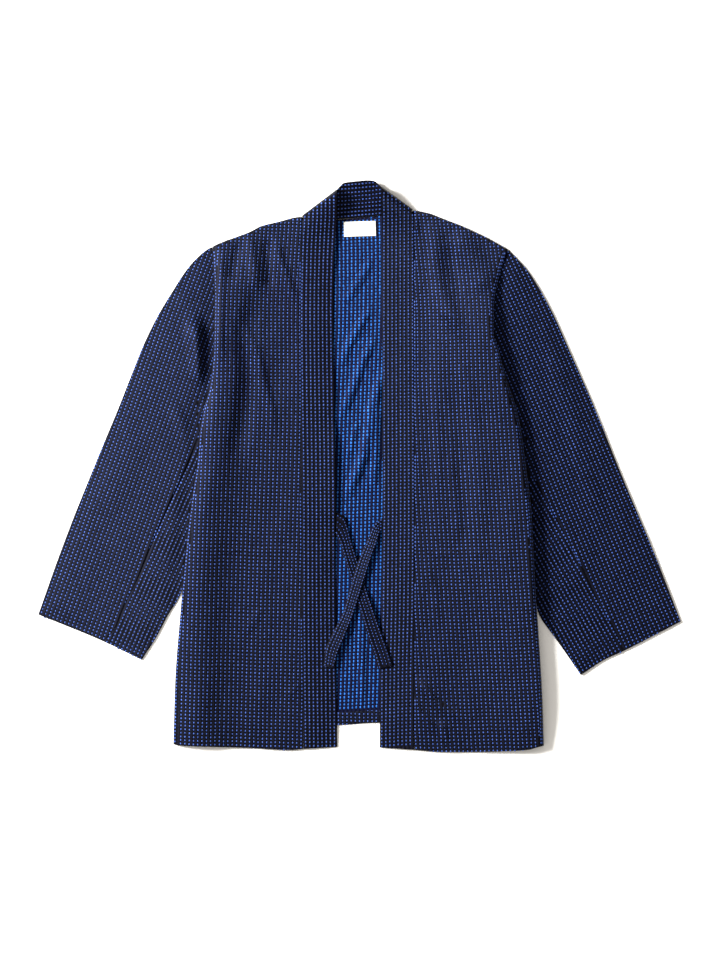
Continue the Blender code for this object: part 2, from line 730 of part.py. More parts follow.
def fold_sections(fold):
    """Sections round the fold beside the neck, a half turn from over the neck to under it."""
    axis_seam, axis_free, out_seam, out_free, low_free = (Vector(p) for p in fold)
    points = []
    for step in range(TURN_SECTIONS + 1):
        turn = math.pi * step / TURN_SECTIONS
        for share in BAND_SHARES:
            top, low = collar_top(share, 0.0), neck_underside(share)
            cloth = mix(BAND_CLOTH_AT_FOLD, BAND_CLOTH, share)
            above, below = axis_seam.lerp(axis_free, share), axis_seam.lerp(low_free, share)
            bulge = out_seam.lerp(out_free, share) - above.lerp(below, 0.5)
            layers = []
            for inset in (0.0, cloth):
                reach = bulge * (1 - inset / bulge.length) * math.sin(turn)
                plan = above.lerp(below, step / TURN_SECTIONS) + reach
                height = (top + low) / 2 + math.cos(turn) * ((top - low) / 2 - inset)
                layers.append(Vector((plan.x, plan.y, height)))
            points.append(layers)
    return points


def half_collar(band_seam, band_edge, fold):
    """One half, from the hem up the front, round the fold, to the back of the neck."""
    length = band_seam[0].y - band_seam[-1].y
    steps = [0.0, HEM_LEVEL / length, *(step / BAND_SECTIONS for step in range(1, BAND_SECTIONS + 1))]
    pairs = [(edge_down(band_seam, 1 - step), edge_down(band_edge, 1 - step)) for step in steps]
    axis = Vector(fold.axis_seam), Vector(fold.axis_free)
    last_seam, last_free = pairs[-1]
    for step in range(1, FAN_SECTIONS):
        share = step / FAN_SECTIONS
        pairs.append((last_seam.lerp(axis[0], share), last_free.lerp(axis[1], share)))
    return band_sections(pairs, fold) + fold_sections(fold)


def neck_sections():
    points = []
    for row in NECK_SECTIONS:
        seam = Vector((row.seam_x, neckline_y(row.seam_x) + SEAM_GAP))
        for share in BAND_SHARES:
            plan = seam.lerp(Vector((row.free_x, row.free_y)), share)
            low = Vector((plan.x, plan.y, neck_underside(share)))
            points.append([low, low + Vector((0, 0, BAND_CLOTH))])
    return points


def add_collar():
    across = len(BAND_SHARES)
    right = half_collar(RIGHT_BAND_SEAM, RIGHT_BAND_EDGE, RIGHT_NECK_FOLD)
    left = half_collar(LEFT_BAND_SEAM, LEFT_BAND_EDGE, LEFT_NECK_FOLD)
    left_rows = [left[start : start + across] for start in range(0, len(left), across)]
    points = right + neck_sections() + [point for row in reversed(left_rows) for point in row]

    def settle(i, j, outer, inner):
        inner.xyz = points[j * across + i][1]

    return cloth_wall(
        "collar",
        across,
        len(points) // across,
        lambda i, j: points[j * across + i][0],
        lambda i, j: BAND_CLOTH,
        (2, 2, 1),
        settle,
    )


def add_tie(name, rows):
    def face(i, j):
        row = rows[j]
        plan = Vector((row.x0, row.y0)).lerp(Vector((row.x1, row.y1)), i / 2)
        return plan.x, plan.y, row.z + TIE_CLOTH

    return cloth_wall(name, 3, len(rows), face, lambda i, j: TIE_CLOTH, (1, 4, 1))


def add_label():
    bm = bmesh.new()
    bmesh.ops.create_cube(bm, size=1.0)
    bmesh.ops.scale(bm, vec=(*LABEL_SIZE, LABEL_CLOTH), verts=bm.verts[:])
    turn = Matrix.Rotation(math.radians(LABEL_TILT), 3, "Z")
    bmesh.ops.rotate(bm, cent=(0, 0, 0), matrix=turn, verts=bm.verts[:])
    middle_z = CLOTH + SEAM_GAP + LABEL_CLOTH / 2
    bmesh.ops.translate(bm, vec=(*LABEL_CENTRE, middle_z), verts=bm.verts[:])
    bmesh.ops.scale(bm, vec=(MM, MM, MM), verts=bm.verts[:])
    return add_object("label", bm, LABEL_WHITE)


def main():
    for obj in list(bpy.data.objects):
        bpy.data.objects.remove(obj, do_unlink=True)
    add_back()
    add_front("front_right", RIGHT_SIDE, RIGHT_SHOULDER, RIGHT_BAND_SEAM, RIGHT_HEM)
    add_front("front_left", LEFT_SIDE, LEFT_SHOULDER, LEFT_BAND_SEAM, LEFT_HEM)
    add_sleeve(
        "sleeve_right",
        RIGHT_SIDE,
        RIGHT_SLEEVE_FOLD,
        RIGHT_SLEEVE_HEAD,
        RIGHT_ARMPIT_Y,
        RIGHT_SLEEVE_UNDER,
        RIGHT_CUFF,
    )
    add_sleeve(
        "sleeve_left",
        LEFT_SIDE,
        LEFT_SLEEVE_FOLD,
        LEFT_SLEEVE_HEAD,
        LEFT_ARMPIT_Y,
        LEFT_SLEEVE_UNDER,
        LEFT_CUFF,
    )
    add_collar()
    add_tie("tie_right", RIGHT_TIE)
    add_tie("tie_left", LEFT_TIE)
    add_label()


main()
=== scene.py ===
# Sashiko haori laid flat on its back with its ties crossed, seen from straight above.
# Tables are in millimetres: x to the right of the picture, y towards the neck, z up from the floor.
# Right and left are the wearer's, so the right half lies at minus x.
import math

import bmesh
import bpy
import numpy as np
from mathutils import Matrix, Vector
from mathutils.bvhtree import BVHTree


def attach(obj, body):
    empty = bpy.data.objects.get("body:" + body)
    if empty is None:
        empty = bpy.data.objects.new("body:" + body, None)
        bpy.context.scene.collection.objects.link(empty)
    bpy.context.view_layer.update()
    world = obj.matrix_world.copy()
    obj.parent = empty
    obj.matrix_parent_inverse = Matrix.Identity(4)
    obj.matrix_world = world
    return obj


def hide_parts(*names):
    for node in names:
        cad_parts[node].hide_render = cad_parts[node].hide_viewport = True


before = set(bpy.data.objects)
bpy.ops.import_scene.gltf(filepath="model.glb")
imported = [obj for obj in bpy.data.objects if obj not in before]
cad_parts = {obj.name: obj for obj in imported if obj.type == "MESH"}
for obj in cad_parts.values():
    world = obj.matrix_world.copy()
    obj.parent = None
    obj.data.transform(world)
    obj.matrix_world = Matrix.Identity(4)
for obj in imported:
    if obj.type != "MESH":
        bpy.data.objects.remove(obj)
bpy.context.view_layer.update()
mm = 0.001
# which way each half lies along x
signs = {"right": -1, "left": 1}
print("frame loaded")


# Curves and surfaces

def joined(*parts):
    return np.concatenate(parts)


def pointsOf(*coordinates):
    return np.stack(np.broadcast_arrays(*coordinates), -1)


def raised(plan, height):
    # the points of a plan at a height
    return pointsOf(plan[..., 0], plan[..., 1], height)


def grid(across, down):
    return np.meshgrid(across, down, indexing="ij")


def between(first, last, share):
    return first + (last - first) * share


def blend(first, last, share):
    # the same by two weights, for points
    return first * (1 - share) + last * share


def lengthOf(steps):
    return np.linalg.norm(steps, axis=-1)


def runAlong(line):
    # distance along a line to each of its points
    return joined([0], np.cumsum(lengthOf(np.diff(line, axis=0))))


def curveThrough(points):
    # value at a key on a smooth curve through (key, value) pairs that never overshoots them
    keys, values = np.array(sorted(points), float).T
    slopes = np.diff(values) / np.diff(keys)
    bends = slopes[:-1] * slopes[1:]
    inner = np.where(bends > 0, 2 * bends / np.where(bends > 0, slopes[:-1] + slopes[1:], 1), 0)
    tangents = joined([slopes[0]], inner, [slopes[-1]])

    def curve(key):
        key = np.clip(key, keys[0], keys[-1])
        k = np.clip(np.searchsorted(keys, key) - 1, 0, len(slopes) - 1)
        step = keys[k + 1] - keys[k]
        t = (key - keys[k]) / step
        ends = values[k] * (2 * t**3 - 3 * t**2 + 1) + values[k + 1] * (3 * t**2 - 2 * t**3)
        return ends + step * (tangents[k] * (t**3 - 2 * t**2 + t) + tangents[k + 1] * (t**3 - t**2))

    return curve


def xAlong(points):
    # x at any y of a line that runs down the cloth
    return curveThrough([(y, x) for x, y in points])


def slopeAt(curve, key, reach):
    return (curve(key + reach) - curve(key - reach)) / (2 * reach)


def edgeDown(points):
    # an edge that is named by its y: from share 0 at its top to 1 at its foot
    xAt, top, foot = xAlong(points), points[0][1], points[-1][1]

    def edge(t):
        y = between(top, foot, np.asarray(t, float))
        return pointsOf(xAt(y), y)

    return edge


def edgeAcross(points):
    yAt, first, last = curveThrough(points), points[0][0], points[-1][0]

    def edge(t):
        x = between(first, last, np.asarray(t, float))
        return pointsOf(x, yAt(x))

    return edge


def patch(start, end, first, last, u, v):
    # plan of a panel between its edges: u runs from start to end, v from first to last
    us, vs = u[..., None], v[..., None]
    ruled = start(v) * (1 - us) + end(v) * us + first(u) * (1 - vs) + last(u) * vs
    return ruled - blend(start(0), end(0), us) * (1 - vs) - blend(start(1), end(1), us) * vs


def fromEdge(plan, edge, t, reach=0.01):
    # distance of each point from the tangent of an edge at share t
    along = edge(np.minimum(t + reach, 1)) - edge(np.maximum(t - reach, 0))
    along /= lengthOf(along)[..., None]
    away = plan - edge(t)
    return np.abs(along[..., 0] * away[..., 1] - along[..., 1] * away[..., 0])


def roll(distance, reach):
    # share of the full height at a distance from a rolled edge, a quarter circle over its reach
    share = np.clip(distance / reach, 0, 1)
    return np.sqrt(1 - (1 - share) ** 2)


def smoothStep(t):
    t = np.clip(t, 0, 1)
    return t * t * (3 - 2 * t)


def hump(distance, halfWidth):
    # 1 on a line, falling to nothing at half a width from it
    return np.clip(1 - (distance / halfWidth) ** 2, 0, None)


# a crease fades in over a share of its length, and its tip lies a little way up that fade
creaseEnds = {"fade": 0.3, "tip": 0.25}
# cloth that has been handled is never quite flat: slow waves, longer down the cloth than across
ripples = {"waves": 14, "across": (40, 110), "down": (90, 260), "spread": 2.6}


def creasesAt(rows, x, y):
    # soft troughs and ridges: half width, height, then the points of the line that each follows
    height = np.zeros_like(x)
    for width, depth, *path in rows:
        lengths = [math.dist(a, b) for a, b in zip(path, path[1:])]
        nearest, place, before = np.full_like(x, 1e6), np.zeros_like(x), 0.0
        for (x0, y0), (x1, y1), length in zip(path, path[1:], lengths):
            along = np.clip(((x - x0) * (x1 - x0) + (y - y0) * (y1 - y0)) / length**2, 0, 1)
            away = np.hypot(x - x0 - (x1 - x0) * along, y - y0 - (y1 - y0) * along)
            closer = away < nearest
            place = np.where(closer, before + along * length, place)
            nearest = np.where(closer, away, nearest)
            before += length
        fade = np.minimum(place, before - place) / (creaseEnds["fade"] * before) + creaseEnds["tip"]
        height += depth * smoothStep(fade) * hump(nearest, width) ** 2
    return height


def ripplesAt(x, y, seed, size=0.2):
    draws = np.random.default_rng(seed)
    height = np.zeros_like(x)
    for _ in range(ripples["waves"]):
        across, down = draws.uniform(*ripples["across"]), draws.uniform(*ripples["down"])
        phase, way = draws.uniform(0, 2 * math.pi), draws.choice((-1, 1))
        height += np.sin(2 * math.pi * (x / across + way * y / down) + phase)
    return height * size / ripples["spread"]


def shares(edgeSteps, length, step, bothEnds=False):
    # shares from 0 to 1: close steps at the start, and at the end too if asked, even ones between
    near = np.array(edgeSteps) / length
    far = 1 - near[::-1] if bothEnds else np.array([1.0])
    count = max(round((far[0] - near[-1]) * length / step), 1)
    return joined(near, np.linspace(near[-1], far[0], count + 1)[1:-1], far)


def normalsOf(points):
    # normals of a sheet of points, on its upper side
    normal = np.cross(np.gradient(points, axis=0), np.gradient(points, axis=1))
    normal /= np.maximum(lengthOf(normal)[..., None], 1e-9)
    return normal * np.sign(normal[..., 2].mean())


# Stitch columns

# distance between two columns on the cut cloth, and how far a stitch strays from its place
columnPitch, jitter = 6.2, 0.12


class Grain:
    # The lines that the cloth's stitch columns follow. turn is how far they lean from straight down
    # towards the left, leans how much more at each distance down, in degrees, pitch the distance from
    # column to column, rowPitch from stitch to stitch, slip how far each column is set down from the last.
    # The stitches wander a little from their places, and each column drifts slowly from the last.
    reach, step, wander, drifting = (-140, 1000), 2, 0.14, 0.04

    def __init__(self, pivot, turn, leans, pitch, rowPitch, slip):
        angle = math.radians(turn)
        self.pivot, self.slip = np.array(pivot, float), slip
        self.down = np.array((-math.sin(angle), -math.cos(angle)))
        self.across = np.array((math.cos(angle), -math.sin(angle)))
        self.places = np.arange(*self.reach, self.step, float)
        lean, self.pitches, rows = (np.interp(self.places, *zip(*t)) for t in (leans, pitch, rowPitch))
        self.counts = np.cumsum(self.step / rows)
        drift = -np.cumsum(np.tan(np.radians(lean)) * self.step)
        self.drift = drift - np.interp(0, self.places, drift)

    def clothPlace(self, x, y):
        # where a point lies on the cut cloth, in metres across and down the columns
        offset = pointsOf(x, y) - self.pivot
        b = offset @ self.down
        a = offset @ self.across - np.interp(b, self.places, self.drift)
        return pointsOf(a / np.interp(b, self.places, self.pitches) * columnPitch, b) * mm

    def lines(self, columns, seed):
        # every stitch of the wanted columns: its place in the plan and the way its column runs
        draws = np.random.default_rng(seed)
        n = np.arange(*columns)[:, None]
        m = np.arange(math.ceil(self.counts[0]), math.floor(self.counts[-1]))[None, :]
        slow = np.cumsum(draws.normal(0, self.drifting, n.shape), axis=0)
        b = np.interp(m + slow, self.counts, self.places) + n * self.slip
        b = b + draws.normal(0, self.wander, b.shape)
        a = np.interp(b, self.places, self.drift) + n * np.interp(b, self.places, self.pitches)
        a = a + draws.normal(0, self.wander * 0.8, a.shape)
        lean = np.interp(b, self.places, np.gradient(self.drift, self.places))
        place = self.pivot + a[..., None] * self.across + b[..., None] * self.down
        way = self.down + lean[..., None] * self.across
        return place.reshape(-1, 2), way.reshape(-1, 2)


# Materials

def colour(text):
    # sRGB hex to linear
    values = [int(text[i : i + 2], 16) / 255 for i in (1, 3, 5)]
    return (*(v / 12.92 if v <= 0.04045 else ((v + 0.055) / 1.055) ** 2.4 for v in values), 1.0)


def setInputs(tree, made, inputs):
    for name, value in inputs.items():
        if isinstance(value, bpy.types.NodeSocket):
            tree.links.new(value, made.inputs[name])
        else:
            made.inputs[name].default_value = value


def node(tree, kind, inputs=None, **settings):
    made = tree.nodes.new("ShaderNode" + kind)
    for name, value in settings.items():
        setattr(made, name, value)
    setInputs(tree, made, inputs or {})
    return made


def newMaterial(name):
    material = bpy.data.materials.new(name)
    material.use_nodes = True
    return material, material.node_tree, material.node_tree.nodes["Principled BSDF"]


def clothUv(tree):
    return node(tree, "UVMap", uv_map="cloth").outputs["UV"]


def wave(tree, vector, period, way, **more):
    # lines that repeat every period: a wave texture in band form does so every 2 pi / (20 * scale)
    inputs = {"Vector": vector, "Scale": 2 * math.pi / (20 * period), **more}
    return node(tree, "TexWave", inputs, bands_direction=way).outputs["Fac"]


def noise(tree, vector, scale, detail, **more):
    return node(tree, "TexNoise", {"Vector": vector, "Scale": scale, "Detail": detail, **more}).outputs["Fac"]


def scaledSum(tree, value, weight, rest):
    return node(tree, "Math", {0: value, 1: weight, 2: rest}, operation="MULTIPLY_ADD").outputs[0]


def bump(tree, height, strength, distance, **more):
    inputs = {"Height": height, "Strength": strength, "Distance": distance, **more}
    return node(tree, "Bump", inputs).outputs["Normal"]


def ramp(tree, factor, *colours, ends=(0.0, 1.0)):
    made = node(tree, "ValToRGB", {"Fac": factor})
    for stop, place, text in zip(made.color_ramp.elements, ends, colours):
        stop.position, stop.color = place, colour(text)
    return made.outputs["Color"]


def alongStitches(tree):
    # threads that lie side by side shine as a bundle does: most where the light crosses them squarely
    tangent = node(tree, "Tangent", direction_type="UV_MAP", uv_map="cloth").outputs["Tangent"]
    return {"Anisotropic": 0.85, "Tangent": tangent, "Specular IOR Level": 0.5}


def sashikoGround(name, dark, light, sheenDark, sheenLight):
    # Plain-woven cotton dyed deep indigo, a low sheen on its threads, the ground puckered into low ridges
    # between the stitch columns. Painted shade makes it nearly black in its hollows. Threads are 0.9 mm,
    # drawn a little coarse.
    material, tree, shader = newMaterial(name)
    cloth, place = clothUv(tree), node(tree, "TexCoord").outputs["Object"]
    warp, weft = wave(tree, cloth, 0.0009, "X"), wave(tree, cloth, 0.0010, "Y")
    puckerAndTroughShade = wave(tree, cloth, columnPitch * mm, "X", **{"Distortion": 0.6, "Detail Scale": 0.4})
    slub, wear = noise(tree, cloth, 420.0, 3.0), noise(tree, place, 26.0, 3.0, Roughness=0.6)
    # painted shade: the weave's low places and the pucker's troughs darken the colour and the sheen tint;
    # slub and wear are the cloth's own uneven tone
    tone = node(tree, "Math", {0: warp, 1: weft}, operation="MULTIPLY").outputs[0]
    for part, weight in ((slub, 1.3), (wear, 0.1), (puckerAndTroughShade, 0.4)):
        tone = scaledSum(tree, part, weight, tone)
    share = node(tree, "MapRange", {"Value": tone, "From Min": 0.88, "From Max": 1.64}).outputs["Result"]
    setInputs(tree, shader, {
        "Roughness": 0.56, "Sheen Weight": 0.02, "Sheen Roughness": 0.5, **alongStitches(tree),
        "Base Color": ramp(tree, share, dark, light),
        "Specular Tint": ramp(tree, share, sheenDark, sheenLight),
        "Normal": bump(tree, tone, 0.3, 0.0002, Normal=bump(tree, puckerAndTroughShade, 0.6, 0.0005)),
    })
    return material


def sashikoThread(name, dark, light, sheen):
    # Thick soft-twisted cotton thread: each stitch is a short float that catches the light on its crown.
    # Its tone differs a little from stitch to stitch, and its ply shows as fine slanting lines.
    material, tree, shader = newMaterial(name)
    tone = node(tree, "Attribute", attribute_name="threadTone", attribute_type="GEOMETRY").outputs["Fac"]
    ply = wave(tree, clothUv(tree), 0.0009, "DIAGONAL")
    setInputs(tree, shader, {
        "Roughness": 0.66, "Sheen Weight": 0.05, "Sheen Roughness": 0.4, **alongStitches(tree),
        "Base Color": ramp(tree, tone, dark, light), "Specular Tint": colour(sheen),
        "Normal": bump(tree, ply, 0.35, 0.0002),
    })
    return material


clothLooks = {
    "outside": {"dark": "#020204", "light": "#12131e", "sheenDark": "#0a0b17", "sheenLight": "#50598c"},
    "inside": {"dark": "#030410", "light": "#101230", "sheenDark": "#0a0f26", "sheenLight": "#364078"},
}
threadLooks = {
    "outside": {"dark": "#263e80", "light": "#3b559f", "sheen": "#b8d2ff"},
    "inside": {"dark": "#194c94", "light": "#2a66bc", "sheen": "#7cb0ff"},
}
outsideCloth = sashikoGround("indigoCottonOutside", **clothLooks["outside"])
insideCloth = sashikoGround("indigoCottonInside", **clothLooks["inside"])
outsideTwice = (outsideCloth, outsideCloth)
outsideThread = sashikoThread("blueThreadOutside", **threadLooks["outside"])
insideThread = sashikoThread("azureThreadInside", **threadLooks["inside"])
print("cloth and thread finishes made")


# Building

def newObject(name, data):
    made = bpy.data.objects.new(name, data)
    bpy.context.scene.collection.objects.link(made)
    return made


def finishPiece(name, mesh, materials, slot="sashiko_cloth"):
    mesh.shade_smooth()
    mesh.set_sharp_from_angle(angle=math.radians(50))
    for material in materials:
        mesh.materials.append(material)
    piece = newObject(name, mesh)
    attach(piece, "root")
    return piece


def clothWall(name, outer, inner, cloth, materials=(outsideCloth, insideCloth), closed=False, **slot):
    # a closed wall between two faces of points in mm, columns by rows, and the tree its stitches are set on
    across, along = outer.shape[:2]
    bm = bmesh.new()
    bmesh.ops.create_grid(bm, x_segments=across - 1, y_segments=along - 1, size=0.5)
    place = bm.verts.layers.int.new("place")
    for vert in bm.verts:
        i = round((vert.co.x + 0.5) * (across - 1))
        j = round((vert.co.y + 0.5) * (along - 1))
        vert[place] = i * along + j
        vert.co = outer[i, j]
    if closed:
        bmesh.ops.remove_doubles(bm, verts=bm.verts[:], dist=0.001)
    made = bmesh.ops.extrude_face_region(bm, geom=bm.faces[:], use_keep_orig=True)
    for item in made["geom"]:
        if isinstance(item, bmesh.types.BMVert):
            item.co = inner[divmod(item[place], along)]
        elif isinstance(item, bmesh.types.BMFace):
            item.material_index = len(materials) - 1
    bmesh.ops.scale(bm, vec=(mm, mm, mm), verts=bm.verts[:])
    bmesh.ops.recalc_face_normals(bm, faces=bm.faces[:])
    if bm.calc_volume(signed=True) < 0:
        bmesh.ops.reverse_faces(bm, faces=bm.faces[:])
    uvs = bm.loops.layers.uv.new("cloth")
    for face in bm.faces:
        for loop in face.loops:
            loop[uvs].uv = cloth[divmod(loop.vert[place], along)]
    mesh = bpy.data.meshes.new(name)
    bm.to_mesh(mesh)
    tree = BVHTree.FromBMesh(bm)
    bm.free()
    return finishPiece(name, mesh, materials, **slot), tree


# One stitch, seen from above: a grain with six corners round its foot and a ridge along its crown
stitchPoints = np.array((
    (-0.5, 0, 0), (-0.27, -0.5, 0), (0.27, -0.5, 0), (0.5, 0, 0), (0.27, 0.5, 0), (-0.27, 0.5, 0),
    (-0.22, 0, 1), (0.22, 0, 1),
))
stitchFaces = ((0, 1, 6), (1, 2, 7, 6), (2, 3, 7), (3, 4, 7), (4, 5, 6, 7), (5, 0, 6), (5, 4, 3, 2, 1, 0))
stitchKinds = {
    "outside": {"size": (3.15, 2.15, 0.55), "thread": outsideThread},
    "inside": {"size": (4.3, 2.8, 0.5), "thread": insideThread},
    "tie": {"size": (2.5, 1.6, 0.4), "thread": outsideThread},
}
# how deep a stitch sits in the cloth, how much stitches differ in size, and the step and the slope
# (z of the cloth's normal) past which none is set
stitching = {"sunk": 0.12, "spread": 0.05, "highestStep": 0.0016, "lowestNormal": 0.25}


def setStitches(name, tree, lines, seed, kind="outside", fromBelow=False, keep=None):
    # sets a stitch at every place of the lines where the cloth is neither stepped nor steep
    places, ways = lines
    size, side = np.array(stitchKinds[kind]["size"]), -1 if fromBelow else 1
    draws, look, half = np.random.default_rng(seed), Vector((0, 0, -side)), size[0] * 0.5
    ways = ways / lengthOf(ways)[:, None]
    if keep is not None:
        wanted = keep(places[:, 0], places[:, 1])
        places, ways = places[wanted], ways[wanted]
    tones = draws.random(len(places))
    grow = draws.normal(1, stitching["spread"], (len(places), 3))
    points, kept = [], []
    for k, ((x, y), (wx, wy)) in enumerate(zip(places, ways)):
        heights = []
        for step in (-half, half, 0):
            at = Vector(((x + wx * step) * mm, (y + wy * step) * mm, 0.1 * side))
            hit, normal = tree.ray_cast(at, look)[:2]
            if hit is not None:
                heights.append(hit.z)
        if hit is None or max(heights) - min(heights) > stitching["highestStep"]:
            continue
        if normal.z * side < stitching["lowestNormal"]:
            continue
        forward = Vector((wx, wy, 0))
        forward = (forward - normal * forward.dot(normal)).normalized()
        axes = np.array((forward, normal.cross(forward), normal))
        foot = np.array(hit) - np.array(normal) * stitching["sunk"] * mm
        thread = foot + (stitchPoints * (size * grow[k] * mm)) @ axes
        if thread[:, 2].min() > 0:
            points.append(thread)
            kept.append(tones[k])
    base = (np.arange(len(points)) * len(stitchPoints)).tolist()
    faces = [tuple(offset + corner for corner in face) for offset in base for face in stitchFaces]
    mesh = bpy.data.meshes.new(name)
    mesh.from_pydata(joined(*points).tolist(), [], faces)
    tone = mesh.attributes.new("threadTone", "FLOAT", "POINT")
    tone.data.foreach_set("value", np.repeat(kept, len(stitchPoints)))
    corners = np.zeros(len(mesh.loops), int)
    mesh.loops.foreach_get("vertex_index", corners)
    cloth = stitchPoints[:, 1::-1] * (size[1::-1] * mm)
    mesh.uv_layers.new(name="cloth").data.foreach_set("uv", cloth[corners % len(stitchPoints)].ravel())
    return finishPiece(name, mesh, (stitchKinds[kind]["thread"],))


# Body

# y, x of the front panel's edge and of the back's, height of each there, and height of the swell beside it
bodySides = {
    "right": (
        (329.2, -220.5, -220.5, 3.15, 0, 7.5),
        (249.4, -217.5, -219.5, 3.15, 0, 15),
        (175.9, -218.9, -219.5, 3.15, 0, 14),
        (127.9, -222.8, -220, 3.15, 0, 13.5),
        (81.4, -234.2, -233.4, 3.3, 0.3, 13.5),
        (45.4, -240, -240, 4.4, 4.1, 14),
        (12.4, -242.3, -242.3, 4.5, 4.2, 14),
        (-34.1, -249, -249, 4.5, 4.2, 14),
        (-64.1, -253.4, -253.4, 4.5, 4.2, 14),
        (-140.6, -261.8, -261.8, 4.4, 4.1, 13.8),
        (-214.1, -268.1, -268.1, 4.2, 3.9, 13.6),
        (-320.6, -276.3, -276.3, 4, 3.7, 13.6),
        (-416.9, -279.2, -279.2, 3.6, 3.3, 12.5),
    ),
    "left": (
        (325.1, 221.3, 222.5, 3.15, 0, 4.5),
        (291.4, 211.7, 222, 3.15, 0, 5.8),
        (244.9, 202.1, 221.5, 3.15, 0, 12),
        (201.4, 201.2, 221, 3.15, 0, 18),
        (172.9, 209, 221, 3.15, 0, 19),
        (128.6, 221.3, 221.5, 3.15, 0, 19),
        (96.4, 232.7, 231.9, 3.3, 0.2, 19),
        (58.9, 241.8, 241.8, 5, 4.7, 18),
        (0.4, 249.8, 249.8, 5.4, 5.1, 18.5),
        (-67.1, 258, 258, 5.5, 5.2, 19),
        (-140.6, 261.8, 261.8, 5.5, 5.2, 19),
        (-212.6, 265.9, 265.9, 5.5, 5.2, 18.5),
        (-350.6, 274.2, 274.2, 5.3, 5, 16.5),
        (-418.7, 276.3, 276.3, 4.4, 4.1, 12),
    ),
}
outlines = {
    "rightShoulder": (
        (-220.5, 329.2), (-212.4, 333.4), (-162.9, 352.3), (-148.2, 360), (-122.7, 366.4), (-87, 374.2),
    ),
    "leftShoulder": ((221.3, 325.1), (206, 334.4), (179.3, 348.4), (137.9, 366.4), (82.2, 383.2)),
    "neckline": (
        (-78, 370.8), (-60, 369.4), (-33.8, 369.8), (0, 372.6), (33.8, 375.8), (60, 378.6), (78.2, 381.8),
    ),
    "rightHem": (
        (-279.2, -416.9), (-271.7, -418.6), (-164.3, -422.6), (-102.8, -425.6), (-84.3, -424.2),
        (-65.3, -422), (-33.3, -421.2),
    ),
    "leftHem": (
        (276.3, -418.7), (265.2, -421.6), (253.5, -424.9), (223.8, -427.1), (177.8, -428.6), (125.3, -428.6),
        (82.1, -425.6), (60.8, -423.4), (30.4, -421.9),
    ),
    "backHem": (
        (-279.2, -416.9), (-200, -408), (-120, -396), (-33, -388.4), (30, -384.8), (120, -396),
        (200, -408), (276.3, -418.7),
    ),
    "rightBandSeam": ((-86.4, 366.6), (-87.8, 234.4), (-87, -50.6), (-84, -424)),
    "rightBandEdge": (
        (-34.4, 375.4), (-37.7, 310.9), (-39, 234.4), (-35.7, -50.6), (-35.3, -200.6), (-33.3, -421.2),
    ),
    "leftBandSeam": ((81.5, 375), (81.2, 234.4), (82.2, -50.6), (81.8, -425.4)),
    "leftBandEdge": (
        (33.8, 380), (33.8, 234.4), (34.5, -50.6), (33.3, -200.6), (30.8, -320.6), (30.4, -421.9),
    ),
}
# y, distance over which the front rises from its side edge, and how fast the swell falls beyond
sideSwells = {
    "right": (
        (330, 10, 30), (250, 14, 64), (170, 12, 58), (100, 18, 44), (40, 24, 38),
        (-130, 24, 36), (-200, 28, 34), (-420, 40, 34),
    ),
    "left": (
        (330, 6, 30), (250, 6, 60), (200, 5, 85), (130, 8, 95), (95, 10, 95),
        (60, 8, 95), (-50, 8, 95), (-180, 7, 90), (-260, 6, 75), (-420, 6, 60),
    ),
}
frontCloth = {
    "thickness": 1.2, "top": 5.0, "lowest": 2.8, "nominalWidth": 170.0, "nominalLength": 790.0,
    "step": 4.2, "rowStep": 4.6, "closestColumns": 0.008, "closestRows": 0.003,
    "sideSteps": (0, 0.3, 0.9, 1.8, 3.0, 4.6, 7.0, 10.0), "seamSteps": (0, 0.8, 2.0, 4.0),
    "topSteps": (0, 0.3, 1.0, 2.0, 3.2, 5.5), "hemSteps": (0, 0.3, 1.0, 2.5, 5.0),
    "shoulderReach": 3.0, "shoulderRim": 2.55,
    # a part of the rise from the side edge comes at once, and a swell of short reach is a quarter circle
    "edgePart": 0.25, "edgeReach": 2.5, "shortReach": 8.0,
    "seamGap": 0.3, "seamDip": 0.3, "seamDipWidth": 2.2, "seamFade": 45.0, "seamCatch": 1.8, "seamRoom": 1.1,
    "hemSink": 1.2, "hemSinkFrom": -392.0, "hemSinkLength": 32.0,
    "hemDepth": 19.0, "hemExtra": 0.8, "hemBend": 0.8, "hemRound": 1.0,
    # stitch columns that follow the side edge, and how far the others keep from it
    "sideClear": {"right": 5.2, "left": 6.6}, "sideRow": 5.2,
    "sideColumns": {"right": (2.2,), "left": (1.5, 4.1)},
}
frontGrain = {
    "right": Grain(
        (-150, 340), 0,
        ((0, 4.2), (60, 4.2), (130, 0), (200, 0.6), (260, 1.6), (400, 2), (520, 1.4), (760, 1)),
        ((0, 6.05), (120, 6.1), (220, 6.25), (320, 6.35), (500, 6.4), (760, 6.45)),
        ((0, 4.98), (120, 5.08), (240, 5.22), (360, 5.32), (500, 5.38), (760, 5.46)), 0.16,
    ),
    "left": Grain(
        (140, 350), 0,
        ((0, -7.5), (70, -6.5), (130, -2.2), (190, -1.4), (260, -3.4), (400, -3.9), (520, -4.4), (760, -3.9)),
        ((0, 5.9), (120, 6), (220, 6.2), (320, 6.3), (500, 6.35), (760, 6.4)),
        ((0, 4.95), (120, 5.05), (240, 5.2), (360, 5.3), (500, 5.38), (760, 5.46)), -0.13,
    ),
}
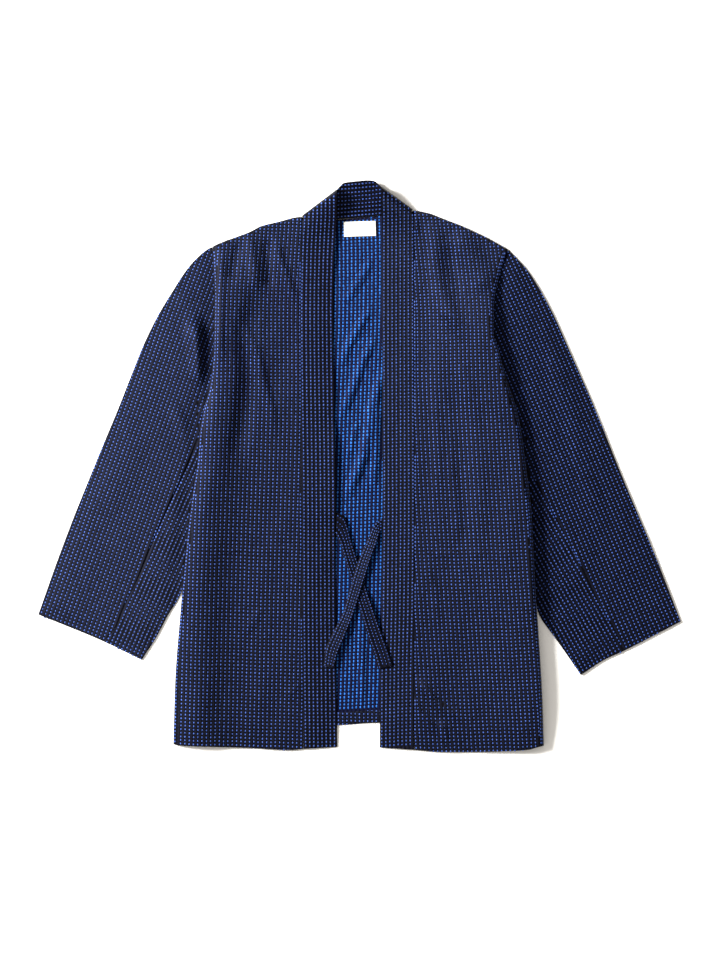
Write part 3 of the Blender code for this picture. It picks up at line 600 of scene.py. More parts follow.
# half width and height of each crease, then its line
frontCreases = {
    "right": (
        (12, 2.9, (-165.8, 351.4), (-159.8, 306.4), (-153.8, 264.4)),
        (12, -3, (-140.2, 342.4), (-134.2, 264.4)),
        (10, 3, (-126.8, 342.4), (-119.2, 309.4), (-108.8, 279.4), (-95.2, 249.4)),
        (9, 2.5, (-204.8, 331.9), (-209.2, 279.4), (-210.8, 219.4), (-207.8, 159.4)),
        (11, -2.6, (-182.2, 333.4), (-186.8, 306.4), (-191.2, 276.4)),
        (22, -4.2, (-156.8, 249.4), (-168.8, 211.9), (-170.2, 174.4), (-167.2, 129.4), (-170.2, 91.9),
            (-176.2, 57.4), (-182.2, 27.4), (-185.2, 6.4)),
        (12, 3.2, (-177.8, 219.4), (-167.2, 196.9), (-152.2, 156.4), (-143.2, 117.4), (-132.8, 84.4),
            (-129.8, 51.4)),
        (2.4, 0.8, (-231.8, -125.6), (-89.2, -124.1)),
        (24, 0.6, (-146.2, -140.6), (-152.2, -380.6)),
        (5, 1.2, (-110.2, -347.6), (-89.2, -326.6)),
        (8, 1, (-171.8, -248.6), (-146.2, -212.6)),
    ),
    "left": (
        (7, 2, (83.2, 378.4), (84.8, 348.4)),
        (18, 3.7, (108.8, 367.9), (114.8, 331.9), (114.8, 294.4), (119.2, 264.4), (132.8, 231.4),
            (153.8, 201.4)),
        (10, -1.8, (138.8, 346.9), (140.2, 294.4), (150.8, 249.4)),
        (30, 4.4, (138.8, 351.4), (153.8, 331.9), (168.8, 309.4), (183.8, 285.4), (192.8, 261.4)),
        (16, 1.6, (138.8, 189.4), (156.8, 129.4), (171.8, 84.4), (177.8, 9.4), (180.8, -65.6),
            (183.8, -140.6)),
        (16, -1.6, (138.8, 129.4), (149.2, 54.4), (150.8, -20.6), (159.8, -140.6)),
        (12, 1.6, (108.8, 114.4), (117.8, 54.4), (116.2, -50.6)),
        (10, 1.2, (134.2, 16.9), (144.8, -35.6), (149.2, -110.6)),
        (8, 1.4, (63.8, 39.4), (65.2, -20.6), (63.8, -110.6)),
        (10, 1.4, (98.2, -140.6), (111.8, -185.6), (116.2, -245.6)),
        (8, 4.2, (87.8, -320.6), (116.2, -356.6), (146.2, -380.6)),
        (8, 3.8, (77.2, -346.1), (92.2, -368.6), (114.8, -398.6)),
        (7, 3, (122.2, -383.6), (129.8, -410.6)),
        (2.4, 0.8, (96.8, -130.1), (240.8, -131.6)),
    ),
}


def hemSink(y):
    # the fronts hang below the back's hem, and sink towards the floor there
    f = frontCloth
    return f["hemSink"] * np.clip((f["hemSinkFrom"] - y) / f["hemSinkLength"], 0, 1)


def columnOf(rows, column):
    # the values of a column of a table over its first one
    return curveThrough([(row[0], row[column]) for row in rows])


def trimmed(points, inside, outside, clear=1):
    # the points that lie between two distances from the middle, clear of both
    return [p for p in points if inside + clear < abs(p[0]) < outside - clear]


def frontStitchLines(half, seamPoints):
    # A column that runs into the band's seam is set beside it. Where the cloth falls steeply to its side
    # edge the columns bunch together and follow that edge.
    f, side, sign = frontCloth, bodySides[half], signs[half]
    places, ways = frontGrain[half].lines((-60, 60), 11 + len(half))
    seamAt, sideAt = xAlong(seamPoints)(places[:, 1]), columnOf(side, 1)
    inboard = sign * (places[:, 0] - seamAt)
    caught = (inboard > -f["seamCatch"]) & (inboard < f["seamRoom"])
    places[:, 0] = np.where(caught, seamAt + sign * f["seamRoom"], places[:, 0])
    free = sign * (sideAt(places[:, 1]) - places[:, 0]) > f["sideClear"][half]
    places, ways, draws = places[free], ways[free], np.random.default_rng(15)
    for distance in f["sideColumns"][half]:
        y = np.arange(side[-1][0] + 4, side[0][0] - 5, f["sideRow"]) + draws.uniform(-1, 1)
        x = sideAt(y) - sign * distance + draws.normal(0, jitter, len(y))
        places, ways = joined(places, pointsOf(x, y)), joined(ways, pointsOf(slopeAt(sideAt, y, 3), 1.0))
    return places, ways


def buildFront(half):
    f, side, sign = frontCloth, bodySides[half], signs[half]
    shoulder, hem = outlines[half + "Shoulder"], outlines[half + "Hem"]
    sidePoints = [(row[1], row[0]) for row in side]
    seamPoints = [(x + sign * f["seamGap"], y) for x, y in outlines[half + "BandSeam"]]
    seamPoints[0] = shoulder[-1]
    sideEdge, seamEdge = edgeDown(sidePoints), edgeDown(seamPoints)
    topEdge = edgeAcross([sidePoints[0]] + trimmed(shoulder, 0, abs(sidePoints[0][0])))
    hemInner = trimmed(hem, abs(seamPoints[-1][0]), abs(sidePoints[-1][0]))
    hemEdge = edgeAcross([sidePoints[-1]] + hemInner + [seamPoints[-1]])
    width, length = f["nominalWidth"], f["nominalLength"]
    seamSide = 1 - np.array(f["seamSteps"])[::-1] / width
    across = shares(f["sideSteps"], width, f["step"])
    across = joined(across[across < seamSide[0] - f["closestColumns"]], seamSide)
    hemRows = 1 - np.array(f["hemSteps"])[::-1] / length
    hemTop = 1 - np.array((f["hemDepth"] + f["hemBend"], f["hemDepth"])) / length
    down = shares(f["topSteps"], length, f["rowStep"])
    down = joined(down[down < hemTop[0] - f["closestRows"]], hemTop, [(hemTop[1] + hemRows[0]) / 2], hemRows)
    u, v = grid(across, down)
    plan = patch(sideEdge, seamEdge, topEdge, hemEdge, u, v)
    x, y = plan[..., 0], plan[..., 1]
    sidePlace = sideEdge(v)
    sideY = sidePlace[..., 1]
    wide, long = lengthOf(sidePlace - seamEdge(v)), lengthOf(topEdge(u) - hemEdge(u))
    fromSide, fromSeam, fromTop, fromHem = wide * u, wide * (1 - u), long * v, long * (1 - v)
    rim, crown = columnOf(side, 3)(sideY), columnOf(side, 5)(sideY)
    reach, spread = (columnOf(sideSwells[half], k)(sideY) for k in (1, 2))
    swell = np.exp(-((np.maximum(fromSide - reach, 0) / spread) ** 2)) * smoothStep(fromSeam / f["seamFade"])
    height = between(f["top"], crown, swell)
    height += creasesAt(frontCreases[half], x, y) + ripplesAt(x, y, len(half)) - hemSink(y)
    height -= f["seamDip"] * np.exp(-((fromSeam / f["seamDipWidth"]) ** 2))
    height = np.maximum(height, f["lowest"])
    slow = np.sin(np.clip(fromSide / reach, 0, 1) * math.pi / 2)
    rise = np.where(reach < f["shortReach"], roll(fromSide, reach), slow)
    atOnce = f["edgePart"]
    height = between(rim, height, atOnce * roll(fromSide, f["edgeReach"]) + (1 - atOnce) * rise)
    height = np.minimum(height, between(f["shoulderRim"], height, roll(fromTop, f["shoulderReach"])))
    height -= f["hemRound"] * (1 - roll(fromHem, f["hemRound"]))
    outer = pointsOf(x, y, height)
    thickness = f["thickness"] + f["hemExtra"] * (v > hemTop[0] + 1e-6)
    inner = outer - normalsOf(outer) * thickness[..., None]
    edge = (u == 0) | (v == 0)
    inner[..., 2] = np.where(edge, np.maximum(inner[..., 2], height), inner[..., 2])
    name = "front" + half.capitalize()
    piece, tree = clothWall(name + "Cloth", outer, inner, frontGrain[half].clothPlace(x, y))
    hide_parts("front_" + half)
    stitches = setStitches(name + "Stitches", tree, frontStitchLines(half, seamPoints), 21 + len(half))
    print(name, "built")


backCloth = {
    "thickness": 1.2, "stitchRoom": 0.6, "sideReach": 5.0, "shoulderReach": 3.0, "shoulderRim": 2.25,
    "neckHalfWidth": 88.0, "shoulderFade": 14.0, "nominalWidth": 520.0, "step": 7.0, "rowStep": 4.6,
    # shares across the back between which it shows in the front opening, and its close columns there
    "openSteps": (0.415, 0.585, 36), "closestColumns": 0.004, "rippleHalfWidth": 120.0,
    "insideHalfWidth": 41.0, "hemDepth": 19.0, "hemThickness": 0.9, "hemBite": 0.1,
    "hemSteps": (0, 0.35, 1, 3, 7, 11, 15, 18, 18.7, 19),
}
backCreases = (
    (11, 2.2, (18.8, 315.4), (5.2, 286.9), (-14.2, 256.9), (-29.2, 244.9)),
    (11, 3, (18.8, 241.9), (0.8, 211.9), (-17.2, 181.9), (-27.8, 147.4)),
    (11, 3.3, (24.8, 196.9), (6.8, 162.4), (-8.2, 121.9), (-20.2, 91.9), (-29.2, 69.4)),
    (12, 4.2, (39.8, 151.9), (26.2, 114.4), (17.2, 84.4), (12.8, 46.9), (6.8, 16.9), (-8.2, -20.6),
        (-20.2, -50.6)),
    (7, 1.9, (-2.2, 69.4), (-11.2, 39.4), (-17.2, 9.4)),
    (11, 3, (32.2, 111.4), (26.2, 61.9), (23.2, 1.9), (20.2, -38.6)),
    (10, 2, (-0.8, -200.6), (3.8, -260.6), (3.8, -368.6)),
)
insideGrain = Grain(
    (0, 340), 0, ((0, -1), (80, 0.6), (160, 2), (260, 2), (400, 1.2), (760, 1.9)),
    ((0, 6.05), (240, 6.02), (760, 6.12)), ((0, 4.98), (240, 5.2), (400, 5.28), (760, 5.38)), -0.3,
)
underGrain = Grain((0, 340), 0, ((0, 0), (760, 0)), ((0, 6.2), (760, 6.3)), ((0, 5.2), (760, 5.3)), 0.1)


def buildBack():
    b = backCloth
    sides = [bodySides[half] for half in signs]
    rightEdge, leftEdge = (edgeDown([(row[2], row[0]) for row in side]) for side in sides)
    topPoints = [tuple(rightEdge(0)), *outlines["rightShoulder"][1:], *outlines["neckline"]]
    topPoints += [*outlines["leftShoulder"][:0:-1], tuple(leftEdge(0))]
    topEdge, hemEdge = edgeAcross(topPoints), edgeAcross(outlines["backHem"])
    across = shares(frontCloth["sideSteps"], b["nominalWidth"], b["step"], True)
    opening, room = np.linspace(*b["openSteps"]), b["closestColumns"]
    across = joined(across[across < opening[0] - room], opening, across[across > opening[-1] + room])
    down = shares(frontCloth["topSteps"], frontCloth["nominalLength"], b["rowStep"])
    u, v = grid(across, down)
    plan = patch(rightEdge, leftEdge, topEdge, hemEdge, u, v)
    x, y = plan[..., 0], plan[..., 1]
    rightPlace, leftPlace = rightEdge(v), leftEdge(v)
    wide, long = lengthOf(leftPlace - rightPlace), lengthOf(topEdge(u) - hemEdge(u))
    besideNeck = np.clip((np.abs(x) - b["neckHalfWidth"]) / b["shoulderFade"], 0, 1)
    lifts = (
        columnOf(sides[0], 4)(rightPlace[..., 1]) * (1 - roll(wide * u, b["sideReach"])),
        columnOf(sides[1], 4)(leftPlace[..., 1]) * (1 - roll(wide * (1 - u), b["sideReach"])),
        b["shoulderRim"] * besideNeck * (1 - roll(long * v, b["shoulderReach"])),
        creasesAt(backCreases, x, y),
        np.full_like(x, b["stitchRoom"]),
    )
    outer = pointsOf(x, y, np.max(lifts, axis=0))
    ripple = np.maximum(ripplesAt(x, y, 5, 0.1), 0) * (np.abs(x) < b["rippleHalfWidth"])
    inner = outer + pointsOf(0.0, 0.0, b["thickness"] - b["stitchRoom"] + ripple)
    normal = normalsOf(outer)
    steep = np.clip(1 - np.abs(normal[..., 2:3]), 0, 1)
    inner[..., :2] += (normal * steep * b["thickness"])[..., :2]
    piece, tree = clothWall("backCloth", outer, inner, insideGrain.clothPlace(x, y))
    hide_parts("back")
    under = setStitches("backUnderStitches", tree, underGrain.lines((-48, 48), 31), 32, fromBelow=True)
    hemAt, neckAt = (curveThrough(outlines[name]) for name in ("backHem", "neckline"))

    def shown(px, py):
        opening = (py > hemAt(px) + b["hemDepth"] + 1.5) & (py < neckAt(px) - 1)
        return opening & (np.abs(px) < b["insideHalfWidth"])

    lines = insideGrain.lines((-18, 18), 33)
    inside = setStitches("backInsideStitches", tree, lines, 34, "inside", keep=shown)
    hem = buildBackHem(hemEdge)
    print("back built")


def buildBackHem(hemEdge):
    # the back's hem, turned up inside, shows its outside face between the fronts
    b = backCloth
    u, steps = grid(np.linspace(0.02, 0.98, 130), b["hemSteps"])
    place = hemEdge(u)
    x, y = place[..., 0], place[..., 1] + steps
    rounded = roll(steps, 1.0) * roll(b["hemDepth"] - steps, b["hemThickness"])
    base = b["thickness"] + creasesAt(backCreases, x, y) - b["hemBite"]
    top = base + 2 * b["hemBite"] + b["hemThickness"] * rounded + ripplesAt(x, y, 8, 0.12) * rounded
    outer, inner = pointsOf(x, y, top), pointsOf(x, y, base)
    piece, tree = clothWall("backHemTurn", outer, inner, underGrain.clothPlace(x, y), outsideTwice)
    hemAt = curveThrough(outlines["backHem"])

    def shown(px, py):
        return (np.abs(px) < b["insideHalfWidth"]) & (py < hemAt(px) + b["hemDepth"] + 1)

    return [piece, setStitches("backHemStitches", tree, underGrain.lines((-16, 16), 41), 42, keep=shown)]


# Sleeves

sleeveShapes = {
    "right": {
        "fold": (
            (-221.4, 328.8), (-227.3, 326), (-254.3, 301), (-282, 259.9), (-302.7, 225.4), (-323.3, 183.4),
            (-339.8, 142.9), (-361.6, 87.4), (-382.2, 37.9), (-406.2, -20.6), (-429.2, -77.6),
            (-456.2, -149.6), (-481.9, -222.4),
        ),
        "under": ((-266.1, -184), (-289.2, -226.9), (-305.6, -257.6), (-326.7, -290.4)),
        "cuff": ((-481.9, -222.4), (-388.5, -260.6), (-326.7, -290.4)),
        "head": (
            (-221.4, 328.8), (-220, 318), (-209.5, 296), (-208.5, 249.4), (-209.5, 175.9), (-214.5, 127.9),
        ),
        "armpit": 63.4,
        "seam": (
            (-240, 45.4), (-257.2, 3.4), (-269.2, -23.6), (-281.2, -49.1), (-300.8, -92.6),
            (-309.8, -113.6), (-330.8, -164.6), (-354.8, -215.6), (-365.2, -241.1), (-383.2, -262.1),
        ),
        "creases": (
            (20, 8, (-248.2, 222.4), (-242.2, 181.9), (-234.8, 117.4)),
            (14, -2, (-227.2, 207.4), (-222.8, 174.4), (-224.2, 132.4)),
            (6, 1, (-239.2, 243.4), (-224.2, 231.4)),
            (14, 1.4, (-278.2, 87.4), (-263.2, 54.4)),
            (26, 1, (-272.2, 276.4), (-263.2, 240.4)),
            (30, 1.2, (-329.2, 69.4), (-381.8, -80.6)),
        ),
        "grain": Grain(
            (-300, 230), 20, ((-60, 0.5), (60, -0.5), (200, 0), (520, 0.3)),
            ((0, 6.15), (200, 6.2), (520, 6.3)), ((0, 5.05), (200, 5.18), (520, 5.3)), 0.25,
        ),
        "grainUnder": Grain(
            (-300, -80), 25, ((0, 0), (300, 0)), ((0, 6.15), (300, 6.25)), ((0, 5.25), (300, 5.3)), 0.3,
        ),
    },
    "left": {
        "fold": (
            (224, 324.6), (253.8, 291.4), (272.9, 260.6), (290.3, 228.4), (315.8, 171.4), (349.5, 94.9),
            (371.9, 39.4), (396, -20.6), (435.8, -115.1), (481.9, -232.7),
        ),
        "under": ((266.4, -212.6), (295.5, -260.6), (301.4, -268.8), (331.8, -313.1)),
        "cuff": ((481.9, -232.7), (440.3, -254.3), (394.5, -277.7), (367.7, -289.9), (331.8, -313.1)),
        "head": (
            (224, 324.6), (219, 312), (203, 291.4), (193, 244.9), (192, 201.4), (200, 172.9),
            (213, 133),
        ),
        "armpit": 76,
        "seam": (
            (249, 5), (270.8, -34.1), (327.8, -139.1), (357.8, -200.6), (369.8, -223.1), (386.3, -251.6),
            (400, -290),
        ),
        "creases": (
            (20, 1.6, (278.2, 204.4), (309.8, 99.4), (336.8, -5.6), (360.8, -95.6)),
            (16, 1, (300.8, -80.6), (345.8, -200.6)),
            (14, -0.8, (252.8, 264.4), (270.8, 204.4)),
        ),
        "grain": Grain(
            (300, 230), -24, ((-60, -1.5), (60, -0.2), (200, 0), (400, 0), (520, -1.5)),
            ((0, 6.15), (200, 6.15), (520, 6.35)), ((0, 5.12), (200, 5.2), (520, 5.33)), 0.05,
        ),
        "grainUnder": Grain(
            (320, -140), -29.5, ((0, 0), (300, 0)), ((0, 6.2), (300, 6.25)), ((0, 5.25), (300, 5.3)), 0,
        ),
    },
}
sleeveCloth = {
    "thickness": 1.0, "top": 4.3, "lowest": 1.6, "nominalWidth": 190.0, "nominalLength": 600.0,
    "step": 4.4, "underStep": 8.0, "rowStep": 4.8, "edgeSteps": (0, 0.2, 0.55, 1.1, 2.0, 3.5, 6.0),
    "headSteps": (0, 3, 7), "cuffSteps": (2.0, 0.8, 0.25, 0.0),
    "edgeShare": 0.62, "edgeTaper": 26.0, "foldReach": 1.15, "stitchRoom": 0.6, "wallGap": 0.1,
    "armholeTop": 2.7, "armholeLap": 2.0, "armholeFade": 26.0, "armpitSteps": (28.0, 14.0, 0.0),
    # how the rows fan out under the arm, and the room beside the front and the back
    "fan": 1.8, "clearance": 0.1, "underClearance": 1.3,
    # the underarm seam: its usual share across, its columns beside it, its lean and its depth down the sleeve
    "seamShare": 0.78, "seamSteps": (-2.4, -1.5, -0.7, 0.0, 0.7, 1.5, 2.4), "seamClear": 4.2,
    "seamLimits": (0.5, 0.97), "seamLean": 20.0, "seamFade": 30.0, "seamHalfWidth": 1.5,
    "seamDepth": {"right": (0.3, 1.5), "left": (0.1, 0.6)}, "seamRoom": {"right": 0.9, "left": 0.2},
}


def buildSleeve(half):
    s, shape, side = sleeveCloth, sleeveShapes[half], bodySides[half]
    sign, frontEdge = signs[half], columnOf(side, 1)

    def besideBody(y):
        return float(frontEdge(y)) + sign * s["clearance"], y

    armpit, seamTop = shape["armpit"], shape["seam"][0][1]
    head = [*shape["head"], *(besideBody(armpit + step) for step in s["armpitSteps"])]
    lapFoot = armpit + s["armpitSteps"][0]
    backLap = [(row[2] + sign * s["underClearance"], row[0]) for row in side[1:] if row[0] > lapFoot]
    backHead = [head[0], *backLap, *head[-2:]]
    bodyRows = [row[0] for row in side if shape["under"][0][1] + 10 < row[0] < armpit - 10]
    underEdge = edgeDown([head[-1], *(besideBody(y) for y in bodyRows), *shape["under"]])
    upperEdge, cuffEdge, seamAt = edgeDown(shape["fold"]), edgeAcross(shape["cuff"]), xAlong(shape["seam"])

    def lowerEdge(t):
        return underEdge(np.asarray(t, float) ** s["fan"])

    usual, width, length = s["seamShare"], s["nominalWidth"], s["nominalLength"]
    over = shares(s["edgeSteps"], width, s["step"], True)
    over = over[np.abs(over - usual) * width > s["seamClear"]]
    over = np.sort(joined(over, usual + np.array(s["seamSteps"]) / width))
    below = shares(s["edgeSteps"], width, s["underStep"], True)[1:-1]
    ring = joined(over, below[::-1], [0.0])
    isFront = joined(np.ones(len(over), bool), np.zeros(len(below), bool), [True])
    down = joined(shares(s["headSteps"], length, s["rowStep"])[:-1], 1 - np.array(s["cuffSteps"]) / length)

    def tube(u, v, layer):
        ends = [patch(upperEdge, lowerEdge, edgeDown(top), cuffEdge, u, v) for top in (head, backHead)]
        plan = np.where(layer[..., None], ends[0], ends[1])
        x, y = plan[..., 0], plan[..., 1]
        fade = smoothStep((sign * (x - frontEdge(y)) - s["armholeLap"]) / s["armholeFade"])
        middle = between(s["armholeTop"], s["top"], fade) / 2
        fromFold = np.minimum(fromEdge(plan, upperEdge, v), fromEdge(plan, lowerEdge, v))
        fromOpen = np.minimum(fromFold, (1 - v) * length)
        middle = middle * between(s["edgeShare"], 1, smoothStep(fromOpen / s["edgeTaper"]))
        lift = roll(fromFold, middle * s["foldReach"])
        crease = creasesAt(shape["creases"], x, y) + ripplesAt(x, y, 50 + len(half), 0.13)
        fromSeam = np.abs(x - seamAt(y)) * math.cos(math.radians(s["seamLean"]))
        groove = smoothStep((seamTop - y) / s["seamFade"]) * hump(fromSeam, s["seamHalfWidth"])
        groove = groove * np.interp(y, (shape["seam"][-1][1], shape["seam"][3][1]), s["seamDepth"][half])
        top = np.maximum(2 * middle + crease * fade - groove, s["lowest"])
        z = np.where(layer, between(middle, top, lift), np.maximum(middle * (1 - lift), s["stitchRoom"]))
        return pointsOf(x, y, z), middle

    def seamShares():
        # share across the front of the sleeve at which its seam runs, row by row
        probe = np.linspace(0.4, 1, 121)
        plan = patch(upperEdge, lowerEdge, edgeDown(head), cuffEdge, *grid(probe, down))
        away = sign * (plan[..., 0] - seamAt(plan[..., 1]))
        k = np.clip(np.argmax(away < 0, axis=0), 1, len(probe) - 1)
        rows = np.arange(len(down))
        before, after = away[k - 1, rows], away[k, rows]
        place = probe[k - 1] + (probe[1] - probe[0]) * before / np.where(before == after, 1, before - after)
        return np.clip(np.where((away < 0).any(axis=0), place, s["seamLimits"][1]), *s["seamLimits"])

    u, v = grid(ring, down)
    layer, seamRow = np.broadcast_to(isFront[:, None], u.shape), np.broadcast_to(seamShares(), u.shape)
    bent = np.where(u < usual, u * seamRow / usual, 1 - (1 - u) * (1 - seamRow) / (1 - usual))
    u = np.where(layer & (u > 0), bent, u)
    outer = tube(u, v, layer)[0]
    cloth = s["thickness"]
    inset = cloth / width * np.maximum(1 - np.minimum(u, 1 - u) / (s["edgeSteps"][-1] / width), 0)
    inner, innerMiddle = tube(np.where(u < 0.5, u + inset, u - inset), v, layer)
    front = np.maximum(inner[..., 2] - cloth, innerMiddle + s["wallGap"])
    back = np.minimum(inner[..., 2] + cloth - s["stitchRoom"], innerMiddle - s["wallGap"])
    inner[..., 2] = np.where((u == 0) | (u == 1), innerMiddle, np.where(layer, front, back))
    grain, name = shape["grain"], "sleeve" + half.capitalize()
    piece, tree = clothWall(
        name + "Cloth", outer, inner, grain.clothPlace(outer[..., 0], outer[..., 1]), closed=True
    )
    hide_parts("sleeve_" + half)

    def outerSide(px, py):
        return (sign * (px - seamAt(py)) > s["seamRoom"][half]) | (py > seamTop)

    def innerSide(px, py):
        return (sign * (px - seamAt(py)) < -s["seamRoom"][half]) & (py < seamTop)

    made = []
    for tag, lines, keep, below in (
        ("Stitches", grain, outerSide, False),
        ("FoldedStitches", shape["grainUnder"], innerSide, False),
        ("UnderStitches", grain, None, True),
    ):
        seed = 60 + 7 * len(made) + len(half)
        made.append(setStitches(
            name + tag, tree, lines.lines((-70, 70), seed), seed + 100, fromBelow=below, keep=keep
        ))
    print(name, "built")


# Collar

# the collar's fold beside the neck: its axis and outline at the seam end and at the free end, and where
# the free end leaves the fold below
neckFolds = {
    "right": ((-83.8, 373.2), (-34.4, 409.2), (-86.8, 375.3), (-34.6, 414.5), (-34, 411.4)),
    "left": ((78.1, 382.6), (33.8, 413.4), (79.9, 385.2), (34.2, 418.7), (33.4, 415.6)),
}
# back of the neck from right to left: x of the seam end, then x and y of the free end
neckSections = (
    (-74, -31.5, 417.2), (-56, -27.6, 421.4), (-38, -23, 424.9), (-20, -12.5, 426.4), (0, 0.5, 427.7),
    (20, 11, 428.6), (38, 20.8, 427.9), (54, 26.6, 424.2), (68, 30.8, 420.8),
)
collarCloth = {
    "thickness": 2.4, "thicknessAtFold": 1.8, "nominalWidth": 50.0, "nominalLength": 790.0,
    "top": 5.0, "topSeam": 6.4, "topFree": {"right": 19.5, "left": 20.0}, "riseLength": 38.0,
    "lift": 6.0, "lowest": 1.25, "leastTop": 0.6, "leastWall": 0.2, "seamGap": 0.3,
    "edgeRound": 1.1, "seamRound": 0.5, "hemRound": 1.0,
    # the band is puffed, and rounded at its edges, where it runs straight
    "puff": 0.45, "straightFrom": 340.0, "straightOver": 60.0,
    "step": 3.6, "edgeSteps": (0, 0.25, 0.7, 1.4, 2.6),
    "sectionStep": 5.0, "hemShares": (0, 0.0004, 0.0012, 0.003),
    "turnSections": 16, "fanSections": 8, "neckSections": 33,
    "columns": 8, "columnPitch": {"right": 6.2, "left": 6.1}, "firstColumn": {"right": 4.0, "left": 3.0},
    "rowPitch": ((-420.0, 5.42), (-100.0, 5.3), (100.0, 5.2), (400.0, 5.02)), "rows": (-419.0, 425.0),
    "rowSlip": {"right": 0.0, "left": 0.38}, "slipRound": 5.2, "jitterAcross": 0.1,
    "neckFirstRow": 4.2, "neckRow": 5.8, "neckStitch": 5.2, "neckHalfWidth": 31.5,
}
# how far the free edge of each band stands above (or sinks below) its usual height, by y
freeEdgeLifts = {
    "right": (
        (340, 0), (300, -0.8), (255, -2), (165, -2), (110, -0.4), (70, -1.4), (36, 1.6),
        (0, 2.4), (-50, 2.4), (-75, 1), (-90, -2.2), (-420, -2.2),
    ),
    "left": ((340, 0), (60, 0.5), (-60, 0.2), (-180, -0.8), (-420, -0.8)),
}


def collarTop(half, share, below):
    c = collarCloth
    rise = np.exp(-((np.maximum(below, 0) / c["riseLength"]) ** 2))
    return between(c["top"], between(c["topSeam"], c["topFree"][half], share), rise)


def frontBand(half):
    # sections from the hem up to the fold beside the neck: seam and free ends
    c = collarCloth
    count = round(c["nominalLength"] / c["sectionStep"])
    t = 1 - joined(c["hemShares"], np.linspace(0, 1, count + 1)[1:])
    ends = np.stack([edgeDown(outlines[half + edge])(t) for edge in ("BandSeam", "BandEdge")], 1)
    fan = np.linspace(0, 1, c["fanSections"] + 1)[1:-1, None, None]
    return joined(ends, blend(ends[-1], np.array(neckFolds[half][:2]), fan))


def collarFaces(half, share):
    # outer and inner face of one half of the collar, sections by shares
    c, ends = collarCloth, frontBand(half)
    axisSeam, axisFree, outSeam, outFree, lowFree = (np.array(p) for p in neckFolds[half])
    plan = blend(ends[:, None, 0], ends[:, None, 1], share[None, :, None])
    x, y = plan[..., 0], plan[..., 1]
    top = collarTop(half, share, between(axisSeam[1], axisFree[1], share) - y) - hemSink(y)
    top = top + curveThrough(freeEdgeLifts[half])(y) * share**2
    edge = np.minimum(share, 1 - share) * c["nominalWidth"]
    curve = np.where(share < 0.5, c["seamRound"], c["edgeRound"])
    straight = smoothStep(-(y - c["straightFrom"]) / c["straightOver"])
    rounded = curve * (1 - roll(edge, curve)) * straight
    top = top + (c["puff"] * np.sin(math.pi * share) + ripplesAt(x, y, 70, 0.1)) * straight
    hemRound = c["hemRound"] * (1 - roll(y - plan[0, :, 1], c["hemRound"]))
    lowest = c["lowest"] - hemSink(y)
    high = np.maximum(top - rounded - hemRound, lowest + c["leastTop"])
    low = np.maximum(top - c["thickness"] + rounded + hemRound, lowest)
    outer, inner = raised(plan, high), raised(plan, np.minimum(low, high - c["leastWall"]))
    turns = math.pi * np.linspace(0, 1, c["turnSections"] + 1)[:, None]
    part = turns[..., None] / math.pi
    upper, under = collarTop(half, share, 0 * share), c["lift"] * share**1.5
    thick = between(c["thicknessAtFold"], c["thickness"], share)
    above, below = (between(axisSeam, free, share[:, None]) for free in (axisFree, lowFree))
    bulge = between(outSeam, outFree, share[:, None]) - (above + below) / 2
    faces = []
    for insetBy in (0 * thick, thick):
        swung = bulge * (1 - (insetBy / lengthOf(bulge))[:, None])
        planTurn = blend(above, below, part) + swung * np.sin(turns)[..., None]
        faces.append(raised(planTurn, (upper + under) / 2 + np.cos(turns) * ((upper - under) / 2 - insetBy)))
    return joined(outer, faces[0]), joined(inner, faces[1])


def necklineAt(x):
    points = (outlines["rightShoulder"][-1], *outlines["neckline"], outlines["leftShoulder"][-1])
    return np.interp(x, *zip(*points))


def neckFaces(share):
    c, last = collarCloth, len(neckSections) - 1
    t = np.linspace(0, last, c["neckSections"])
    seamX, freeX, freeY = (curveThrough(list(enumerate(column)))(t) for column in zip(*neckSections))
    seam, free = pointsOf(seamX, necklineAt(seamX) + c["seamGap"]), pointsOf(freeX, freeY)
    plan = blend(seam[:, None], free[:, None], share[None, :, None])
    low, edge = c["lift"] * share**1.5, (1 - share) * c["nominalWidth"]
    rounded = c["edgeRound"] * (1 - roll(edge, c["edgeRound"]))
    return raised(plan, low + rounded), raised(plan, low + c["thickness"] - rounded)


def collarStitchLines():
    # columns at fixed distances from the free edge of each band, and rows along the back of the neck
    c, draws = collarCloth, np.random.default_rng(80)
    places, ways, pitchAt = [], [], curveThrough(c["rowPitch"])
    rows = [c["rows"][0]]
    while rows[-1] < c["rows"][1]:
        rows.append(rows[-1] + float(pitchAt(rows[-1])))
    for half, sign in signs.items():
        freeAt = xAlong(outlines[half + "BandEdge"])
        for k in range(c["columns"]):
            y = np.array(rows) + (k * c["rowSlip"][half]) % c["slipRound"] + draws.uniform(-0.3, 0.3)
            y = y + draws.normal(0, jitter, len(rows))
            x = freeAt(y) + sign * (c["firstColumn"][half] + k * c["columnPitch"][half])
            places.append(pointsOf(x + draws.normal(0, c["jitterAcross"], len(y)), y))
            ways.append(pointsOf(slopeAt(freeAt, y, 5), 1.0))
    for k in range(c["columns"] + 1):
        x = np.arange(-c["neckHalfWidth"], c["neckHalfWidth"], c["neckStitch"]) + draws.uniform(-0.4, 0.4)
        y = necklineAt(x) + c["neckFirstRow"] + k * c["neckRow"] + draws.normal(0, jitter, len(x))
        places.append(pointsOf(x, y))
        ways.append(pointsOf(1.0, necklineAt(x + 1) - necklineAt(x)))
    return joined(*places), joined(*ways)


